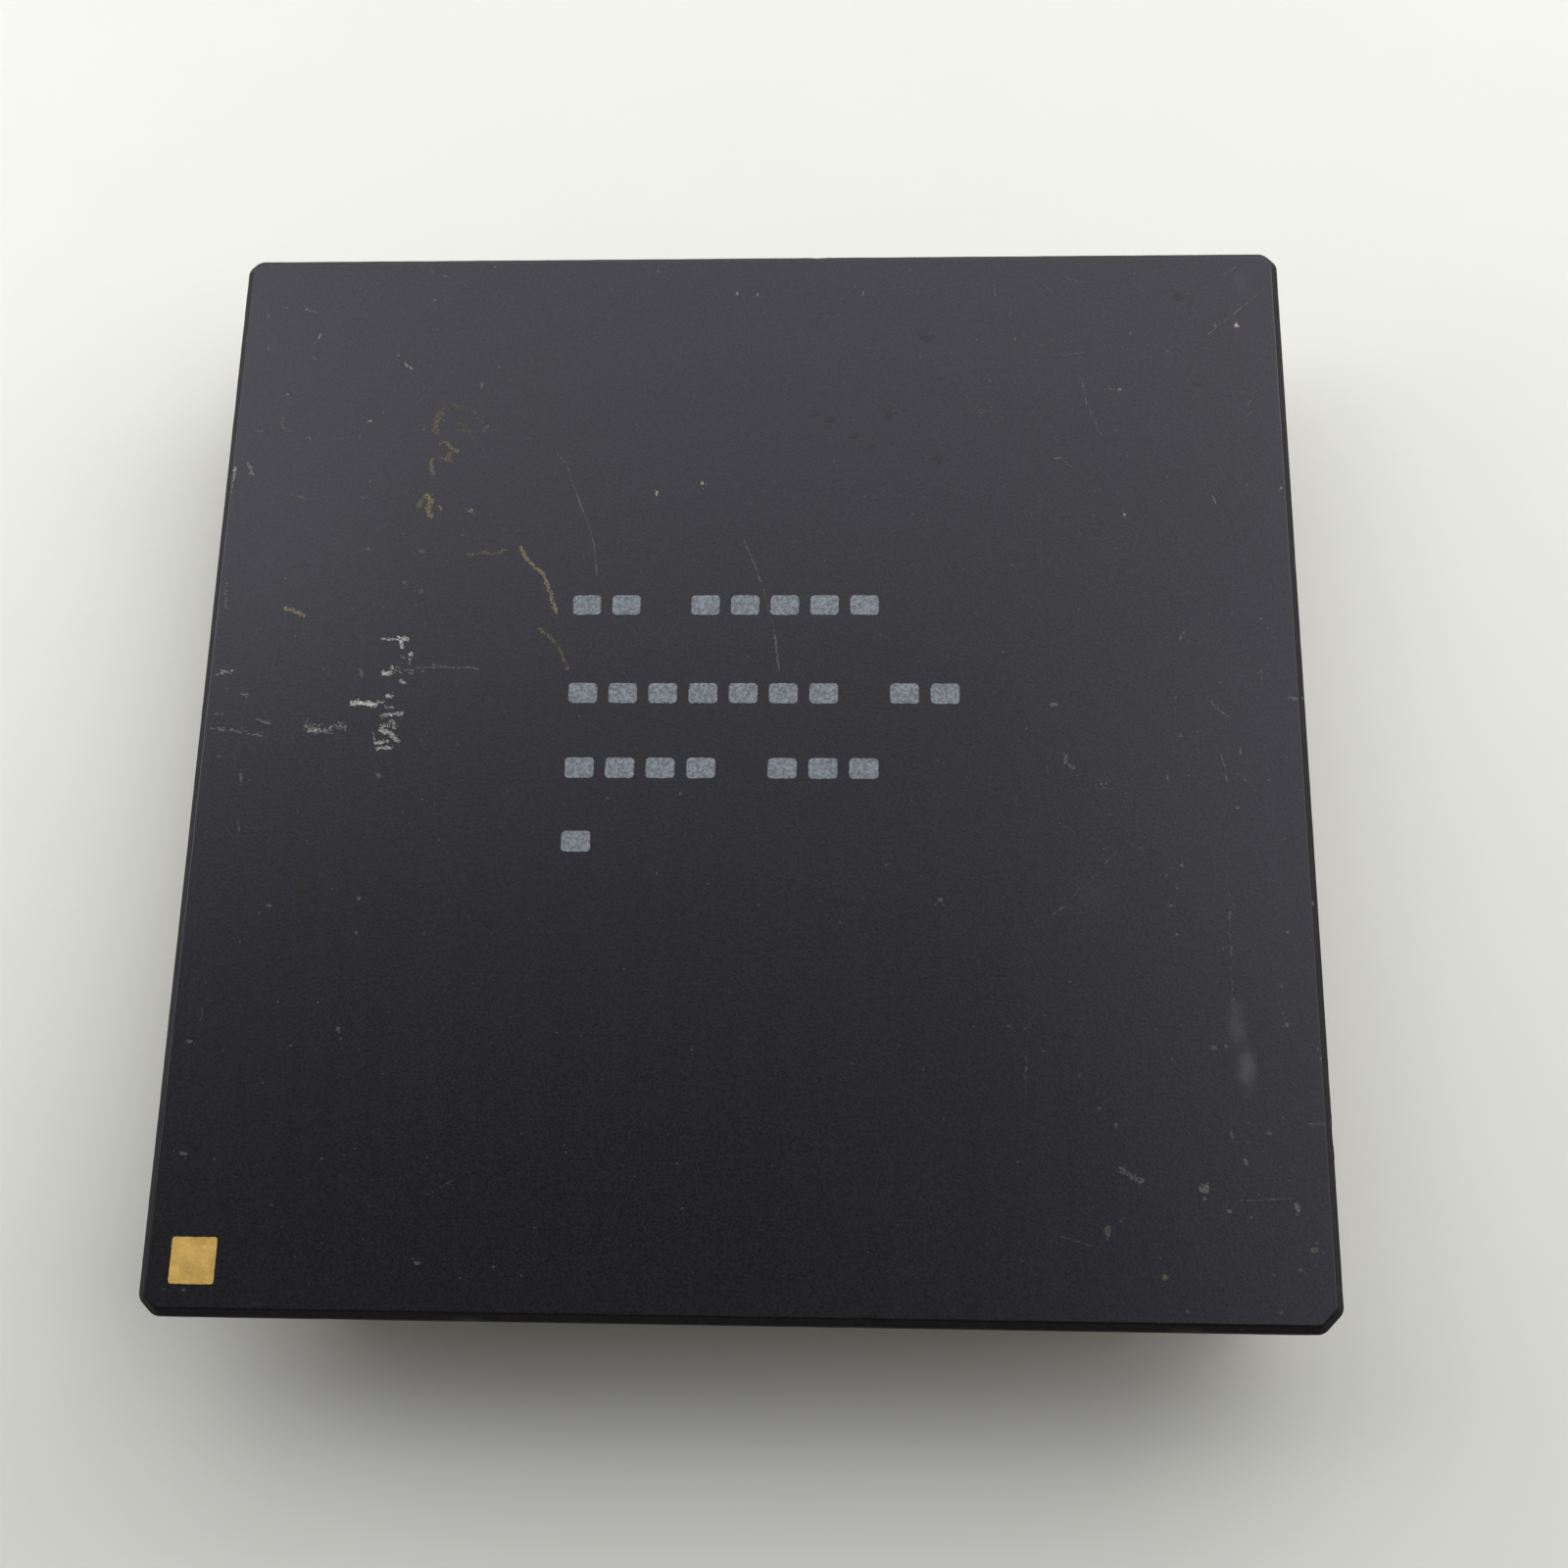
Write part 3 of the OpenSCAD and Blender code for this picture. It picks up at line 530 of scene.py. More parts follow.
def gold_finish(name, colour, roughness, grain_size, stretch=(1, 1, 1), thinned=0.2):
    """Electroplated gold: its roughness and tone follow the grain of the metal under it."""
    material, tree, coords = new_material(name)
    drawn = add_node(tree, "ShaderNodeMapping", inputs={"Vector": coords, "Scale": stretch}).outputs["Vector"]
    inputs = {"Vector": drawn, "Scale": per_mm(grain_size), "Detail": 3.0}
    grain = add_node(tree, "ShaderNodeTexNoise", inputs=inputs).outputs["Fac"]
    inputs = {"Value": grain, **NOISE_RANGE, "To Min": roughness - 0.08, "To Max": roughness + 0.08}
    dulled = add_node(tree, "ShaderNodeMapRange", inputs=inputs).outputs["Result"]
    inputs = {"Strength": 0.6, "Distance": 0.004 * MM, "Height": grain}
    bump = add_node(tree, "ShaderNodeBump", inputs=inputs).outputs["Normal"]

    # Patches a few tenths of a millimetre wide where the plating is thinner and browner
    inputs = {"Vector": coords, "Scale": per_mm(0.7), "Detail": 2.0}
    patches = add_node(tree, "ShaderNodeTexNoise", inputs=inputs).outputs["Fac"]
    inputs = {"Value": patches, "From Min": 0.35, "From Max": 0.75, "To Min": 0.0, "To Max": thinned}
    thin = add_node(tree, "ShaderNodeMapRange", inputs=inputs).outputs["Result"]
    brown = (colour[0] * 0.6, colour[1] * 0.58, colour[2] * 0.52)
    inputs = {0: thin, 6: opaque(colour), 7: opaque(brown)}
    plated = add_node(tree, "ShaderNodeMix", COLOUR_MIX, inputs).outputs[2]
    sockets = {"Base Color": plated, "Metallic": 1.0, "Roughness": dulled, "Normal": bump}
    shader = add_node(tree, "ShaderNodeBsdfPrincipled", inputs=sockets).outputs["BSDF"]
    add_node(tree, "ShaderNodeOutputMaterial", inputs={"Surface": shader})
    return material


def film_finish(name, colours, colour, roughness, grain_size, cover=None, ior=CERAMIC_IOR):
    """Thin matt film on the ceramic: mottled where it lies thin and the dark body shows through."""
    material, tree, coords = new_material(name)
    inputs = {"Vector": coords, "Scale": per_mm(grain_size), "Detail": 3.0}
    mottle = add_node(tree, "ShaderNodeTexNoise", inputs=inputs).outputs["Fac"]
    inputs = {"Value": mottle, "From Min": 0.34, "From Max": 0.62, "To Min": 1.0, "To Max": 0.45}
    share = add_node(tree, "ShaderNodeMapRange", inputs=inputs).outputs["Result"]
    inputs = {"Strength": 0.5, "Distance": 0.004 * MM, "Height": mottle}
    bump = add_node(tree, "ShaderNodeBump", inputs=inputs).outputs["Normal"]

    # How much of the film is left differs from mark to mark, and is stored on the mesh
    if cover:
        left = add_node(tree, "ShaderNodeAttribute", {"attribute_name": cover}).outputs["Fac"]
        inputs = {0: share, 1: left}
        share = add_node(tree, "ShaderNodeMath", {"operation": "MULTIPLY"}, inputs).outputs["Value"]
    inputs = {0: share, 6: opaque(colours.ceramic), 7: opaque(colour)}
    film = add_node(tree, "ShaderNodeMix", COLOUR_MIX, inputs).outputs[2]
    sockets = {"Base Color": film, "Roughness": roughness, "IOR": ior, "Normal": bump}
    shader = add_node(tree, "ShaderNodeBsdfPrincipled", inputs=sockets).outputs["BSDF"]
    add_node(tree, "ShaderNodeOutputMaterial", inputs={"Surface": shader})
    return material


def silicon_finish(colours):
    """Polished silicon under clear oxide: smooth, with blocks of circuit that differ in tone."""
    material, tree, coords = new_material("silicon_oxide_polished")

    # Blocks of circuit about 1.2 mm by 0.5 mm
    inputs = {
        "Vector": coords,
        "Color1": opaque(colours.silicon),
        "Color2": opaque(colours.silicon, 0.55),
        "Mortar": opaque(colours.silicon, 1.5),
        "Scale": 1.0,
        "Mortar Size": 0.03 * MM,
        "Brick Width": 1.2 * MM,
        "Row Height": 0.5 * MM,
    }
    blocks = add_node(tree, "ShaderNodeTexBrick", {"offset": 0.37, "squash": 1.6}, inputs).outputs["Color"]
    inputs = {"Vector": coords, "Scale": per_mm(0.2), "Detail": 1.0}
    uneven = add_node(tree, "ShaderNodeTexNoise", inputs=inputs).outputs["Fac"]
    inputs = {"Value": uneven, "To Min": 0.08, "To Max": 0.3}
    roughness = add_node(tree, "ShaderNodeMapRange", inputs=inputs).outputs["Result"]
    sockets = {"Base Color": blocks, "Metallic": 0.6, "Roughness": roughness}
    shader = add_node(tree, "ShaderNodeBsdfPrincipled", inputs=sockets).outputs["BSDF"]
    add_node(tree, "ShaderNodeOutputMaterial", inputs={"Surface": shader})
    return material


def floor_finish(colours):
    """Pale laminate: matt, with a faint unevenness, and pale to the eye far from the part, with painted shade
    dimming it towards the near side.
    """
    material, tree, coords = new_material("pale_laminate")
    inputs = {"Vector": coords, "Scale": per_mm(6), "Detail": 4.0}
    uneven = add_node(tree, "ShaderNodeTexNoise", inputs=inputs).outputs["Fac"]
    inputs = {0: uneven, 6: opaque(colours.floor, 0.985), 7: opaque(colours.floor, 1.015)}
    tone = add_node(tree, "ShaderNodeMix", COLOUR_MIX, inputs).outputs[2]
    sockets = {"Base Color": tone, "Roughness": 0.6, "Specular IOR Level": 0.2}
    laminate = add_node(tree, "ShaderNodeBsdfPrincipled", inputs=sockets).outputs["BSDF"]

    # What the eye and shiny faces see of the backdrop, which casts no light of its own and is painted dimmer
    # towards the near side as shade
    path = add_node(tree, "ShaderNodeLightPath").outputs
    seen = path["Is Camera Ray"]
    for kind in ("Is Glossy Ray", "Is Transmission Ray"):
        inputs = {0: seen, 1: path[kind]}
        seen = add_node(tree, "ShaderNodeMath", {"operation": "MAXIMUM"}, inputs).outputs["Value"]
    reach = add_node(tree, "ShaderNodeVectorMath", {"operation": "LENGTH"}, {0: coords}).outputs["Value"]
    inputs = {"Value": reach, **BACKDROP_REACH}
    far = add_node(tree, "ShaderNodeMapRange", SMOOTH, inputs).outputs["Result"]
    share = add_node(tree, "ShaderNodeMath", {"operation": "MULTIPLY"}, {0: seen, 1: far}).outputs["Value"]
    # Painted shade: the backdrop's glow is weaker towards the near side
    along = add_node(tree, "ShaderNodeSeparateXYZ", inputs={"Vector": coords}).outputs["Y"]
    inputs = {"Value": along, **BACKDROP_GLOW_WITH_PAINTED_SHADE}
    strength = add_node(tree, "ShaderNodeMapRange", inputs=inputs).outputs["Result"]
    inputs = {"Color": opaque(colours.floor), "Strength": strength}
    pale = add_node(tree, "ShaderNodeEmission", inputs=inputs).outputs["Emission"]
    both = add_node(tree, "ShaderNodeMixShader", inputs={0: share, 1: laminate, 2: pale}).outputs["Shader"]
    add_node(tree, "ShaderNodeOutputMaterial", inputs={"Surface": both})
    return material


# Mesh helpers

MERGE = 0.0005 * MM


def bevel(bm, geometry, offset, segments, affect="EDGES"):
    """Rounds or chamfers edges or corners."""
    shape = {"offset_type": "OFFSET", "profile": 0.5, "material": -1}
    bmesh.ops.bevel(bm, geom=geometry, offset=offset, segments=segments, affect=affect, **shape)


def of_kind(geometry, kind):
    """The points, edges or faces among the geometry that a step has made."""
    return [part for part in geometry if isinstance(part, kind)]


def cut_square(bm, face, low, high):
    """Cuts a level face along the four sides of a square, and gives the face inside them."""
    faces = [face]
    level = face.calc_center_median().z
    for axis in (Vector((1, 0, 0)), Vector((0, 1, 0))):
        for corner in (low, high):
            point = Vector((corner.x, corner.y, level))
            edges = dict.fromkeys(edge for part in faces for edge in part.edges)
            verts = dict.fromkeys(vert for part in faces for vert in part.verts)
            made = bmesh.ops.bisect_plane(bm, geom=[*verts, *edges, *faces], plane_co=point, plane_no=axis)
            faces = of_kind(made["geom"], bmesh.types.BMFace)
    middle = Vector(((low.x + high.x) / 2, (low.y + high.y) / 2, level))
    return min(faces, key=lambda part: (part.calc_center_median() - middle).length)


def sink_face(bm, face, shift):
    """Pushes one face along z into the body, with walls round it, and gives it back."""
    made = bmesh.ops.extrude_face_region(bm, geom=[face])
    bmesh.ops.translate(bm, verts=of_kind(made["geom"], bmesh.types.BMVert), vec=(0, 0, shift))
    if face.is_valid:
        bmesh.ops.delete(bm, geom=[face], context="FACES_ONLY")
    return of_kind(made["geom"], bmesh.types.BMFace)[0]


def thicken(bm, thickness):
    """Gives flat flakes their thickness towards +z, and closes them."""
    made = bmesh.ops.extrude_face_region(bm, geom=bm.faces[:], use_keep_orig=True)
    bmesh.ops.translate(bm, verts=of_kind(made["geom"], bmesh.types.BMVert), vec=(0, 0, thickness))


def turned_mesh(profile, sides):
    """Mesh of a profile of radius and height, turned round the upright axis."""
    bm = bmesh.new()
    verts = [bm.verts.new((radius, 0, height)) for radius, height in profile]
    edges = [bm.edges.new(pair) for pair in zip(verts, verts[1:])]
    turn = {"cent": (0, 0, 0), "axis": (0, 0, 1), "angle": 2 * math.pi}
    bmesh.ops.spin(bm, geom=[*verts, *edges], steps=sides, use_merge=True, **turn)
    bmesh.ops.remove_doubles(bm, verts=bm.verts[:], dist=MERGE)
    mesh = bpy.data.meshes.new("turned")
    bm.to_mesh(mesh)
    bm.free()
    return mesh


def set_out(shape, places):
    """One bmesh with a copy of a shape at each place, after which the shape isn't needed."""
    bm = bmesh.new()
    for place in places:
        copy = shape.copy()
        copy.transform(place)
        bm.from_mesh(copy, face_normals=False, vertex_normals=False)
        bpy.data.meshes.remove(copy)
    bpy.data.meshes.remove(shape)
    return bm


def finish_piece(name, bm, material, smooth_angle=None, nodes=()):
    """Makes the mesh an object of the part, with its finish and the solids that it stands for."""
    bmesh.ops.recalc_face_normals(bm, faces=bm.faces[:])
    if any(not edge.is_manifold for edge in bm.edges):
        raise RuntimeError(f"{name} isn't closed")
    mesh = bpy.data.meshes.new(name)
    bm.to_mesh(mesh)
    bm.free()
    if smooth_angle is not None:
        mesh.shade_smooth()
        mesh.set_sharp_from_angle(angle=math.radians(smooth_angle))
    mesh.materials.append(material)
    piece = bpy.data.objects.new(name, mesh)
    bpy.context.scene.collection.objects.link(piece)
    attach(piece, BODY)
    if nodes:
        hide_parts(*nodes)
    return piece


def paint_node(node, material):
    """Gives a solid that stays in view its finish."""
    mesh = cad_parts[node].data
    mesh.materials.clear()
    mesh.materials.append(material)


# Ceramic body

LEVEL = 0.01 * MM
RIM_CUTS = 72
RIM_UNEVENNESS = 0.004 * MM
NICK_SHARE = 0.012

# How much of a nick's depth goes into the side and along it, where the rim's bevel meets the side
NICK_INWARD = 0.6
NICK_UPRIGHT = 0.8

# Faces count as flat within this much of the slope of a side, a rim's bevel or a level face
FLAT_SLOPES = (0, math.sqrt(0.5), 1)
FLAT_WITHIN = 0.02


def is_level(edge):
    """Whether an edge runs level."""
    return abs(edge.verts[0].co.z - edge.verts[1].co.z) < LEVEL


def slab_outline(bm, sizes):
    """Square slab with chamfered corners, softened upright edges and bevelled rims."""
    span = SLAB_HIGH - SLAB_LOW
    place = Matrix.Translation((SLAB_LOW + SLAB_HIGH) / 2) @ Matrix.Diagonal((*span, 1))
    bmesh.ops.create_cube(bm, size=1, matrix=place)
    for (side_x, side_y), share in CORNER_SHARES.items():
        uprights = [edge for edge in bm.edges if not is_level(edge)]
        corner = Vector((side_x, side_y, 0)) * HALF_SIDE
        nearest = min(uprights, key=lambda edge: (edge.verts[0].co.xy - corner.xy).length)
        bevel(bm, [nearest], sizes.corner_chamfer * share, 1)
    bevel(bm, [edge for edge in bm.edges if not is_level(edge)], sizes.corner_round, 4)
    bevel(bm, [edge for edge in bm.edges if is_level(edge)], sizes.rim_bevel, 1)


def roughen_rims(bm, sizes):
    """Divides the long rims and gives them the small unevenness and few nicks of a used edge."""
    rng = random.Random(17)
    long_edges = [edge for edge in bm.edges if edge.calc_length() > HALF_SIDE]
    bmesh.ops.subdivide_edges(bm, edges=long_edges, cuts=RIM_CUTS, use_grid_fill=True)
    lower = PIN_FACE + sizes.rim_bevel
    upper = TOP - sizes.rim_bevel
    for vert in bm.verts:
        inward = Vector((-vert.co.x, -vert.co.y, 0)) / HALF_SIDE
        depth = abs(rng.gauss(0, RIM_UNEVENNESS))
        if rng.random() < NICK_SHARE:
            depth = rng.uniform(0.3, 1.0) * sizes.rim_nick
        at_side = lower - LEVEL < vert.co.z < upper + LEVEL
        if at_side:
            vert.co += inward * depth * NICK_INWARD
            vert.co.z += depth * (NICK_UPRIGHT if vert.co.z < (lower + upper) / 2 else -NICK_UPRIGHT)
        else:
            vert.co += inward * depth


def build_slab(sizes, colours):
    """The fired ceramic with its stepped cavity below and the pocket of the index mark above."""
    bm = bmesh.new()
    slab_outline(bm, sizes)
    roughen_rims(bm, sizes)
    rims = [edge for edge in bm.edges if is_level(edge) and edge.calc_face_angle(0) > math.radians(30)]
    bevel(bm, rims, sizes.edge_softness, 2)

    bottom = min(bm.faces, key=lambda face: face.normal.z * face.calc_area())
    half = Vector((sizes.cavity_side / 2, sizes.cavity_side / 2, 0))
    mouth = cut_square(bm, bottom, -half, half)
    shelf = sink_face(bm, mouth, OUTER_SHELF - PIN_FACE)
    for rise in (INNER_SHELF - OUTER_SHELF, WELL_FLOOR - INNER_SHELF):
        bmesh.ops.inset_individual(bm, faces=[shelf], thickness=sizes.shelf_width)
        shelf = sink_face(bm, shelf, rise)

    top = max(bm.faces, key=lambda face: face.normal.z * face.calc_area())
    mark_low, mark_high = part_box("index_mark")
    pocket = cut_square(bm, top, mark_low, mark_high)
    sink_face(bm, pocket, mark_low.z - mark_high.z)
    slab = finish_piece("ceramic_slab", bm, fired_ceramic(colours), nodes=["ceramic_body"])
    slab.data.materials.append(lapped_ceramic(colours))
    # Faces turned nearly straight up get the lapped finish, all others the fired one with its painted shade
    for polygon in slab.data.polygons:
        up = polygon.normal.z
        polygon.use_smooth = min(abs(abs(up) - slope) for slope in FLAT_SLOPES) > FLAT_WITHIN
        polygon.material_index = int(up > 0.9)


# Index mark: the slit round it, its divisions, the roughness of its face and the one bump in it
MARK_SLIT = 0.012 * MM
MARK_DIVISIONS = 36
MARK_UNEVENNESS = 0.002 * MM
BUMP_PLACE = Vector((0.42, 0.47, 0))
BUMP_REACH = 0.13 * MM
BUMP_HEIGHT = 0.012 * MM


def build_index_mark(sizes, colours):
    """Square of plated metal in the ceramic, with the uneven face and edges of a printed film."""
    rng = random.Random(5)
    low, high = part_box("index_mark")
    half = (high.x - low.x) / 2 - MARK_SLIT
    centre = Vector(((low.x + high.x) / 2, (low.y + high.y) / 2, low.z))
    straight = half - sizes.mark_corner
    bm = bmesh.new()
    cells = {"x_segments": MARK_DIVISIONS, "y_segments": MARK_DIVISIONS}
    bmesh.ops.create_grid(bm, **cells, size=half, matrix=Matrix.Translation(centre))
    for vert in bm.verts:
        offset = vert.co - centre
        beyond = Vector((max(0, abs(offset.x) - straight), max(0, abs(offset.y) - straight), 0))
        if min(beyond.x, beyond.y) > 0 and beyond.length > sizes.mark_corner:
            pulled = beyond * (1 - sizes.mark_corner / beyond.length)
            vert.co.x -= math.copysign(pulled.x, offset.x)
            vert.co.y -= math.copysign(pulled.y, offset.y)
        if max(abs(offset.x), abs(offset.y)) > half - MARK_SLIT:
            vert.co -= offset * rng.uniform(0, 0.02)
    thicken(bm, high.z - low.z)
    bump = centre + BUMP_PLACE * half
    for vert in bm.verts:
        if vert.co.z > (low.z + high.z) / 2:
            vert.co.z += rng.gauss(0, MARK_UNEVENNESS)
            near = (vert.co.xy - bump.xy).length / BUMP_REACH
            vert.co.z += BUMP_HEIGHT * max(0, 1 - near ** 2)
    gold = gold_finish("gold_on_printed_tungsten", colours.gold_mark, 0.75, 0.07, thinned=0.6)
    finish_piece("gold_index_mark", bm, gold, 40, ["index_mark"])


# Print and wear on the top face

# How deep the films sit in the face, so that they touch it
SEAT = 0.002 * MM

# Rounding of the ink blocks' corners, and how far their edges waver
INK_CORNER = 0.16 * MM
INK_WAVER = 0.008 * MM

# Sides of a flake, crumbs round a speck, how many times over a dense stroke's flakes cover it, and the
# mesh's layer with how much of each flake's film is left
FLECK_SIDES = 7
CRUMBS = 4
STREWN = 3.0
COVER = "cover"

# Dust: how many flecks, and how far from the middle in millimetres
DUST_COUNT = 260
DUST_REACH = 21.6


def build_ink(sizes, colours):
    """Rows of plain blocks of marking ink, with the soft corners and uneven edges of a pad print."""
    rng = random.Random(23)
    bm = bmesh.new()
    for groups, height in zip(PRINT_ROWS, PRINT_HEIGHTS):
        step = 0
        for group in groups:
            for _ in range(group):
                x = PRINT_LEFT * MM + sizes.block_length / 2 + step * sizes.block_pitch
                place = Matrix.Translation((x, height * MM, TOP - SEAT))
                shape = Matrix.Diagonal((sizes.block_length, sizes.block_height, 1, 1))
                bmesh.ops.create_grid(bm, x_segments=1, y_segments=1, size=0.5, matrix=place @ shape)
                step += 1
            step += 1
    bevel(bm, bm.verts[:], INK_CORNER, 3, "VERTICES")
    straight = [edge for edge in bm.edges if edge.calc_length() > 0.3 * MM]
    bmesh.ops.subdivide_edges(bm, edges=straight, cuts=7)
    for vert in bm.verts:
        vert.co.x += rng.gauss(0, INK_WAVER)
        vert.co.y += rng.gauss(0, INK_WAVER)
    thicken(bm, sizes.ink_film + SEAT)
    finish_piece("ink_blocks", bm, film_finish("marking_ink_cured", colours, colours.ink, 0.5, 0.12))


def add_fleck(bm, rng, place, size, turn, lift):
    """One ragged flake, flat on the top face, with its place and sizes in millimetres."""
    x = place[0] * READ_STEP[0] + READ_SHIFT[0]
    y = place[1] * READ_STEP[1] + READ_SHIFT[1]
    centre = Vector((x * MM, y * MM, TOP - SEAT))
    shape = Matrix.Diagonal((size[0] / 2 * MM, size[1] / 2 * MM, 1, 1))
    where = Matrix.Translation(centre) @ Matrix.Rotation(turn, 4, "Z") @ shape
    made = bmesh.ops.create_circle(bm, cap_ends=True, segments=FLECK_SIDES, radius=1, matrix=where)

    # A matt film has to hide more of the ceramic than in proportion to how much paler it looks
    share = min(1.0, 0.05 + 0.25 * lift + 0.45 * lift ** 2)
    cover = bm.verts.layers.float[COVER]
    for vert in made["verts"]:
        vert.co += (vert.co - centre) * rng.uniform(-0.35, 0.2)
        vert[cover] = share


def add_stroke(bm, rng, stroke, length, breadth, strength):
    """Flakes strewn along one stroke, ragged across its width."""
    width, dense, lift, *points = stroke
    for start, end in zip(points, points[1:]):
        run = Vector(end) - Vector(start)
        area = run.length * max(width, breadth)
        count = max(2, round(STREWN * dense * area / (length * breadth)))
        heading = math.atan2(run.y, run.x)
        aside = Vector((-math.sin(heading), math.cos(heading)))
        for _ in range(count):
            place = Vector(start) + run * rng.random() + aside * rng.gauss(0, width / 4)
            size = (length * rng.uniform(0.5, 1.3), breadth * rng.uniform(0.6, 1.3))
            turn = heading + rng.gauss(0, 0.25)
            add_fleck(bm, rng, place, size, turn, lift * strength * rng.uniform(0.5, 1.45))


def add_speck(bm, rng, speck):
    """One speck with crumbs round it."""
    x, y, width, height, lift = speck
    add_fleck(bm, rng, (x, y), (width, height), rng.uniform(-0.3, 0.3), lift)
    for _ in range(CRUMBS):
        crumb = rng.uniform(0.25, 0.5) * min(width, height)
        place = (x + rng.gauss(0, width / 2), y + rng.gauss(0, height / 2))
        add_fleck(bm, rng, place, (crumb, crumb), 0, lift * rng.uniform(0.4, 1.0))


def add_dust(bm, rng):
    """Fine dust all over the top face, thicker towards its left and right rims."""
    while len(bm.faces) < DUST_COUNT:
        place = (rng.uniform(-DUST_REACH, DUST_REACH), rng.uniform(-DUST_REACH, DUST_REACH))
        if rng.random() < 0.25 + 0.75 * abs(place[0]) / DUST_REACH:
            size = (rng.uniform(0.05, 0.13), rng.uniform(0.05, 0.1))
            add_fleck(bm, rng, place, size, rng.uniform(0, math.pi), rng.uniform(0.03, 0.13))


def new_wear():
    """An empty bmesh whose points hold how much of a film is left."""
    bm = bmesh.new()
    bm.verts.layers.float.new(COVER)
    return bm


def finish_wear(name, bm, rng, sizes, material):
    """Closes the flakes, each with a thickness of its own."""
    for face in bm.faces:
        drop = rng.uniform(0, 0.4) * sizes.wear_film
        for vert in face.verts:
            vert.co.z -= drop
    thicken(bm, sizes.wear_film)
    finish_piece(name, bm, material)


def build_wear(sizes, colours):
    """Scuffs, rubs, scratches and specks where the used part has them."""
    chalk = film_finish("chalky_scuff", colours, colours.chalk, 0.6, 0.1, COVER)
    rub = film_finish("rubbed_brass", colours, colours.rub, 0.45, 0.08, COVER)
    scratch = film_finish("scratched_alumina", colours, colours.scratch, 0.5, 0.3, COVER)
    strokes = (
        ("chalk_scuffs", CHALK_STROKES, 0.1, 0.04, 1.1, chalk),
        ("brass_rubs", RUB_STROKES, 0.09, 0.04, 1.35, rub),
        ("pale_scratches", SCRATCHES, 0.24, 0.04, 1.0, scratch),
    )
    for seed, (name, marks, length, breadth, strength, material) in enumerate(strokes):
        rng = random.Random(seed)
        bm = new_wear()
        for mark in marks:
            add_stroke(bm, rng, mark, length, breadth, strength)
        finish_wear(name, bm, rng, sizes, material)
    pale = film_finish("pale_dirt", colours, colours.pale_speck, 0.5, 0.1, COVER)
    tan = film_finish("tan_dirt", colours, colours.tan_speck, 0.5, 0.1, COVER)
    grease = film_finish("dried_grease", colours, colours.ceramic, 0.4, 0.1, COVER, GREASE_IOR)
    specks = (
        ("pale_specks", PALE_SPECKS, pale),
        ("tan_specks", TAN_SPECKS, tan),
        ("dark_stains", STAINS, grease),
    )
    for seed, (name, marks, material) in enumerate(specks):
        rng = random.Random(10 + seed)
        bm = new_wear()
        for mark in marks:
            add_speck(bm, rng, mark)
        finish_wear(name, bm, rng, sizes, material)
    rng = random.Random(31)
    bm = new_wear()
    add_dust(bm, rng)
    finish_wear("fine_dust", bm, rng, sizes, pale)


# Pins, their brazes and pads

PIN_SIDES = 12
STANDOFF_SIDES = 32
PAD_SIDES = 16
COLLAR_EDGE = 0.08 * MM
PAD_EDGE = 0.012 * MM


def pin_places(pitch):
    """Places of the plain pins and of those with a collar; the index corner has none."""
    plain, collared = [], []
    last = GRID_COUNT - 1
    for i in range(GRID_COUNT):
        for j in range(GRID_COUNT):
            ring = 1 + min(i, j, last - i, last - j)
            if ring > GRID_ROWS or i + j == 0:
                continue
            spot = Vector(((i - last / 2) * pitch, (j - last / 2) * pitch, 0))
            on_diagonal = i in (j, last - j)
            (collared if on_diagonal and ring == COLLAR_RING else plain).append(spot)
    return plain, collared


def quarter_turns(steps):
    """Angles that divide a quarter circle."""
    return [math.pi / 2 * k / steps for k in range(steps + 1)]


def tip_profile(sizes, steps):
    """Rounded tip of a pin, from its axis out to the shank."""
    radius = sizes.pin_diameter / 2
    tip = sizes.tip_radius
    rounding = [(radius - tip * (1 - math.sin(t)), tip * (1 - math.cos(t))) for t in quarter_turns(steps)]
    return [(0, 0), *rounding]


def build_pins(sizes, colours):
    """Plated pins of drawn wire, and the four with an upset collar."""
    gold = gold_finish("gold_on_drawn_wire", colours.gold_bright, 0.3, 0.08, (1, 1, 0.06))
    radius = sizes.pin_diameter / 2
    plain, collared = pin_places(sizes.pitch)
    head = [(radius, PAD_FACE), (0, PAD_FACE)]
    shape = turned_mesh([*tip_profile(sizes, 2), *head], PIN_SIDES)
    bm = set_out(shape, [Matrix.Translation(p) for p in plain])
    finish_piece("gold_contact_pins", bm, gold, 50, ["contact_pins"])

    seat = PIN_FACE - sizes.collar_drop
    rim = sizes.collar_diameter / 2
    soft = COLLAR_EDGE
    low_rim = [(rim - soft * (1 - math.sin(t)), seat + soft * (1 - math.cos(t))) for t in quarter_turns(3)]
    high_rim = [(r, 2 * seat + sizes.collar_thickness - z) for r, z in reversed(low_rim)]
    collar = [(radius, seat), *low_rim, *high_rim, (radius, seat + sizes.collar_thickness)]
    shape = turned_mesh([*tip_profile(sizes, 4), *collar, *head], STANDOFF_SIDES)
    bm = set_out(shape, [Matrix.Translation(p) for p in collared])
    finish_piece("gold_standoff_pins", bm, gold, 40, ["standoff_pins"])


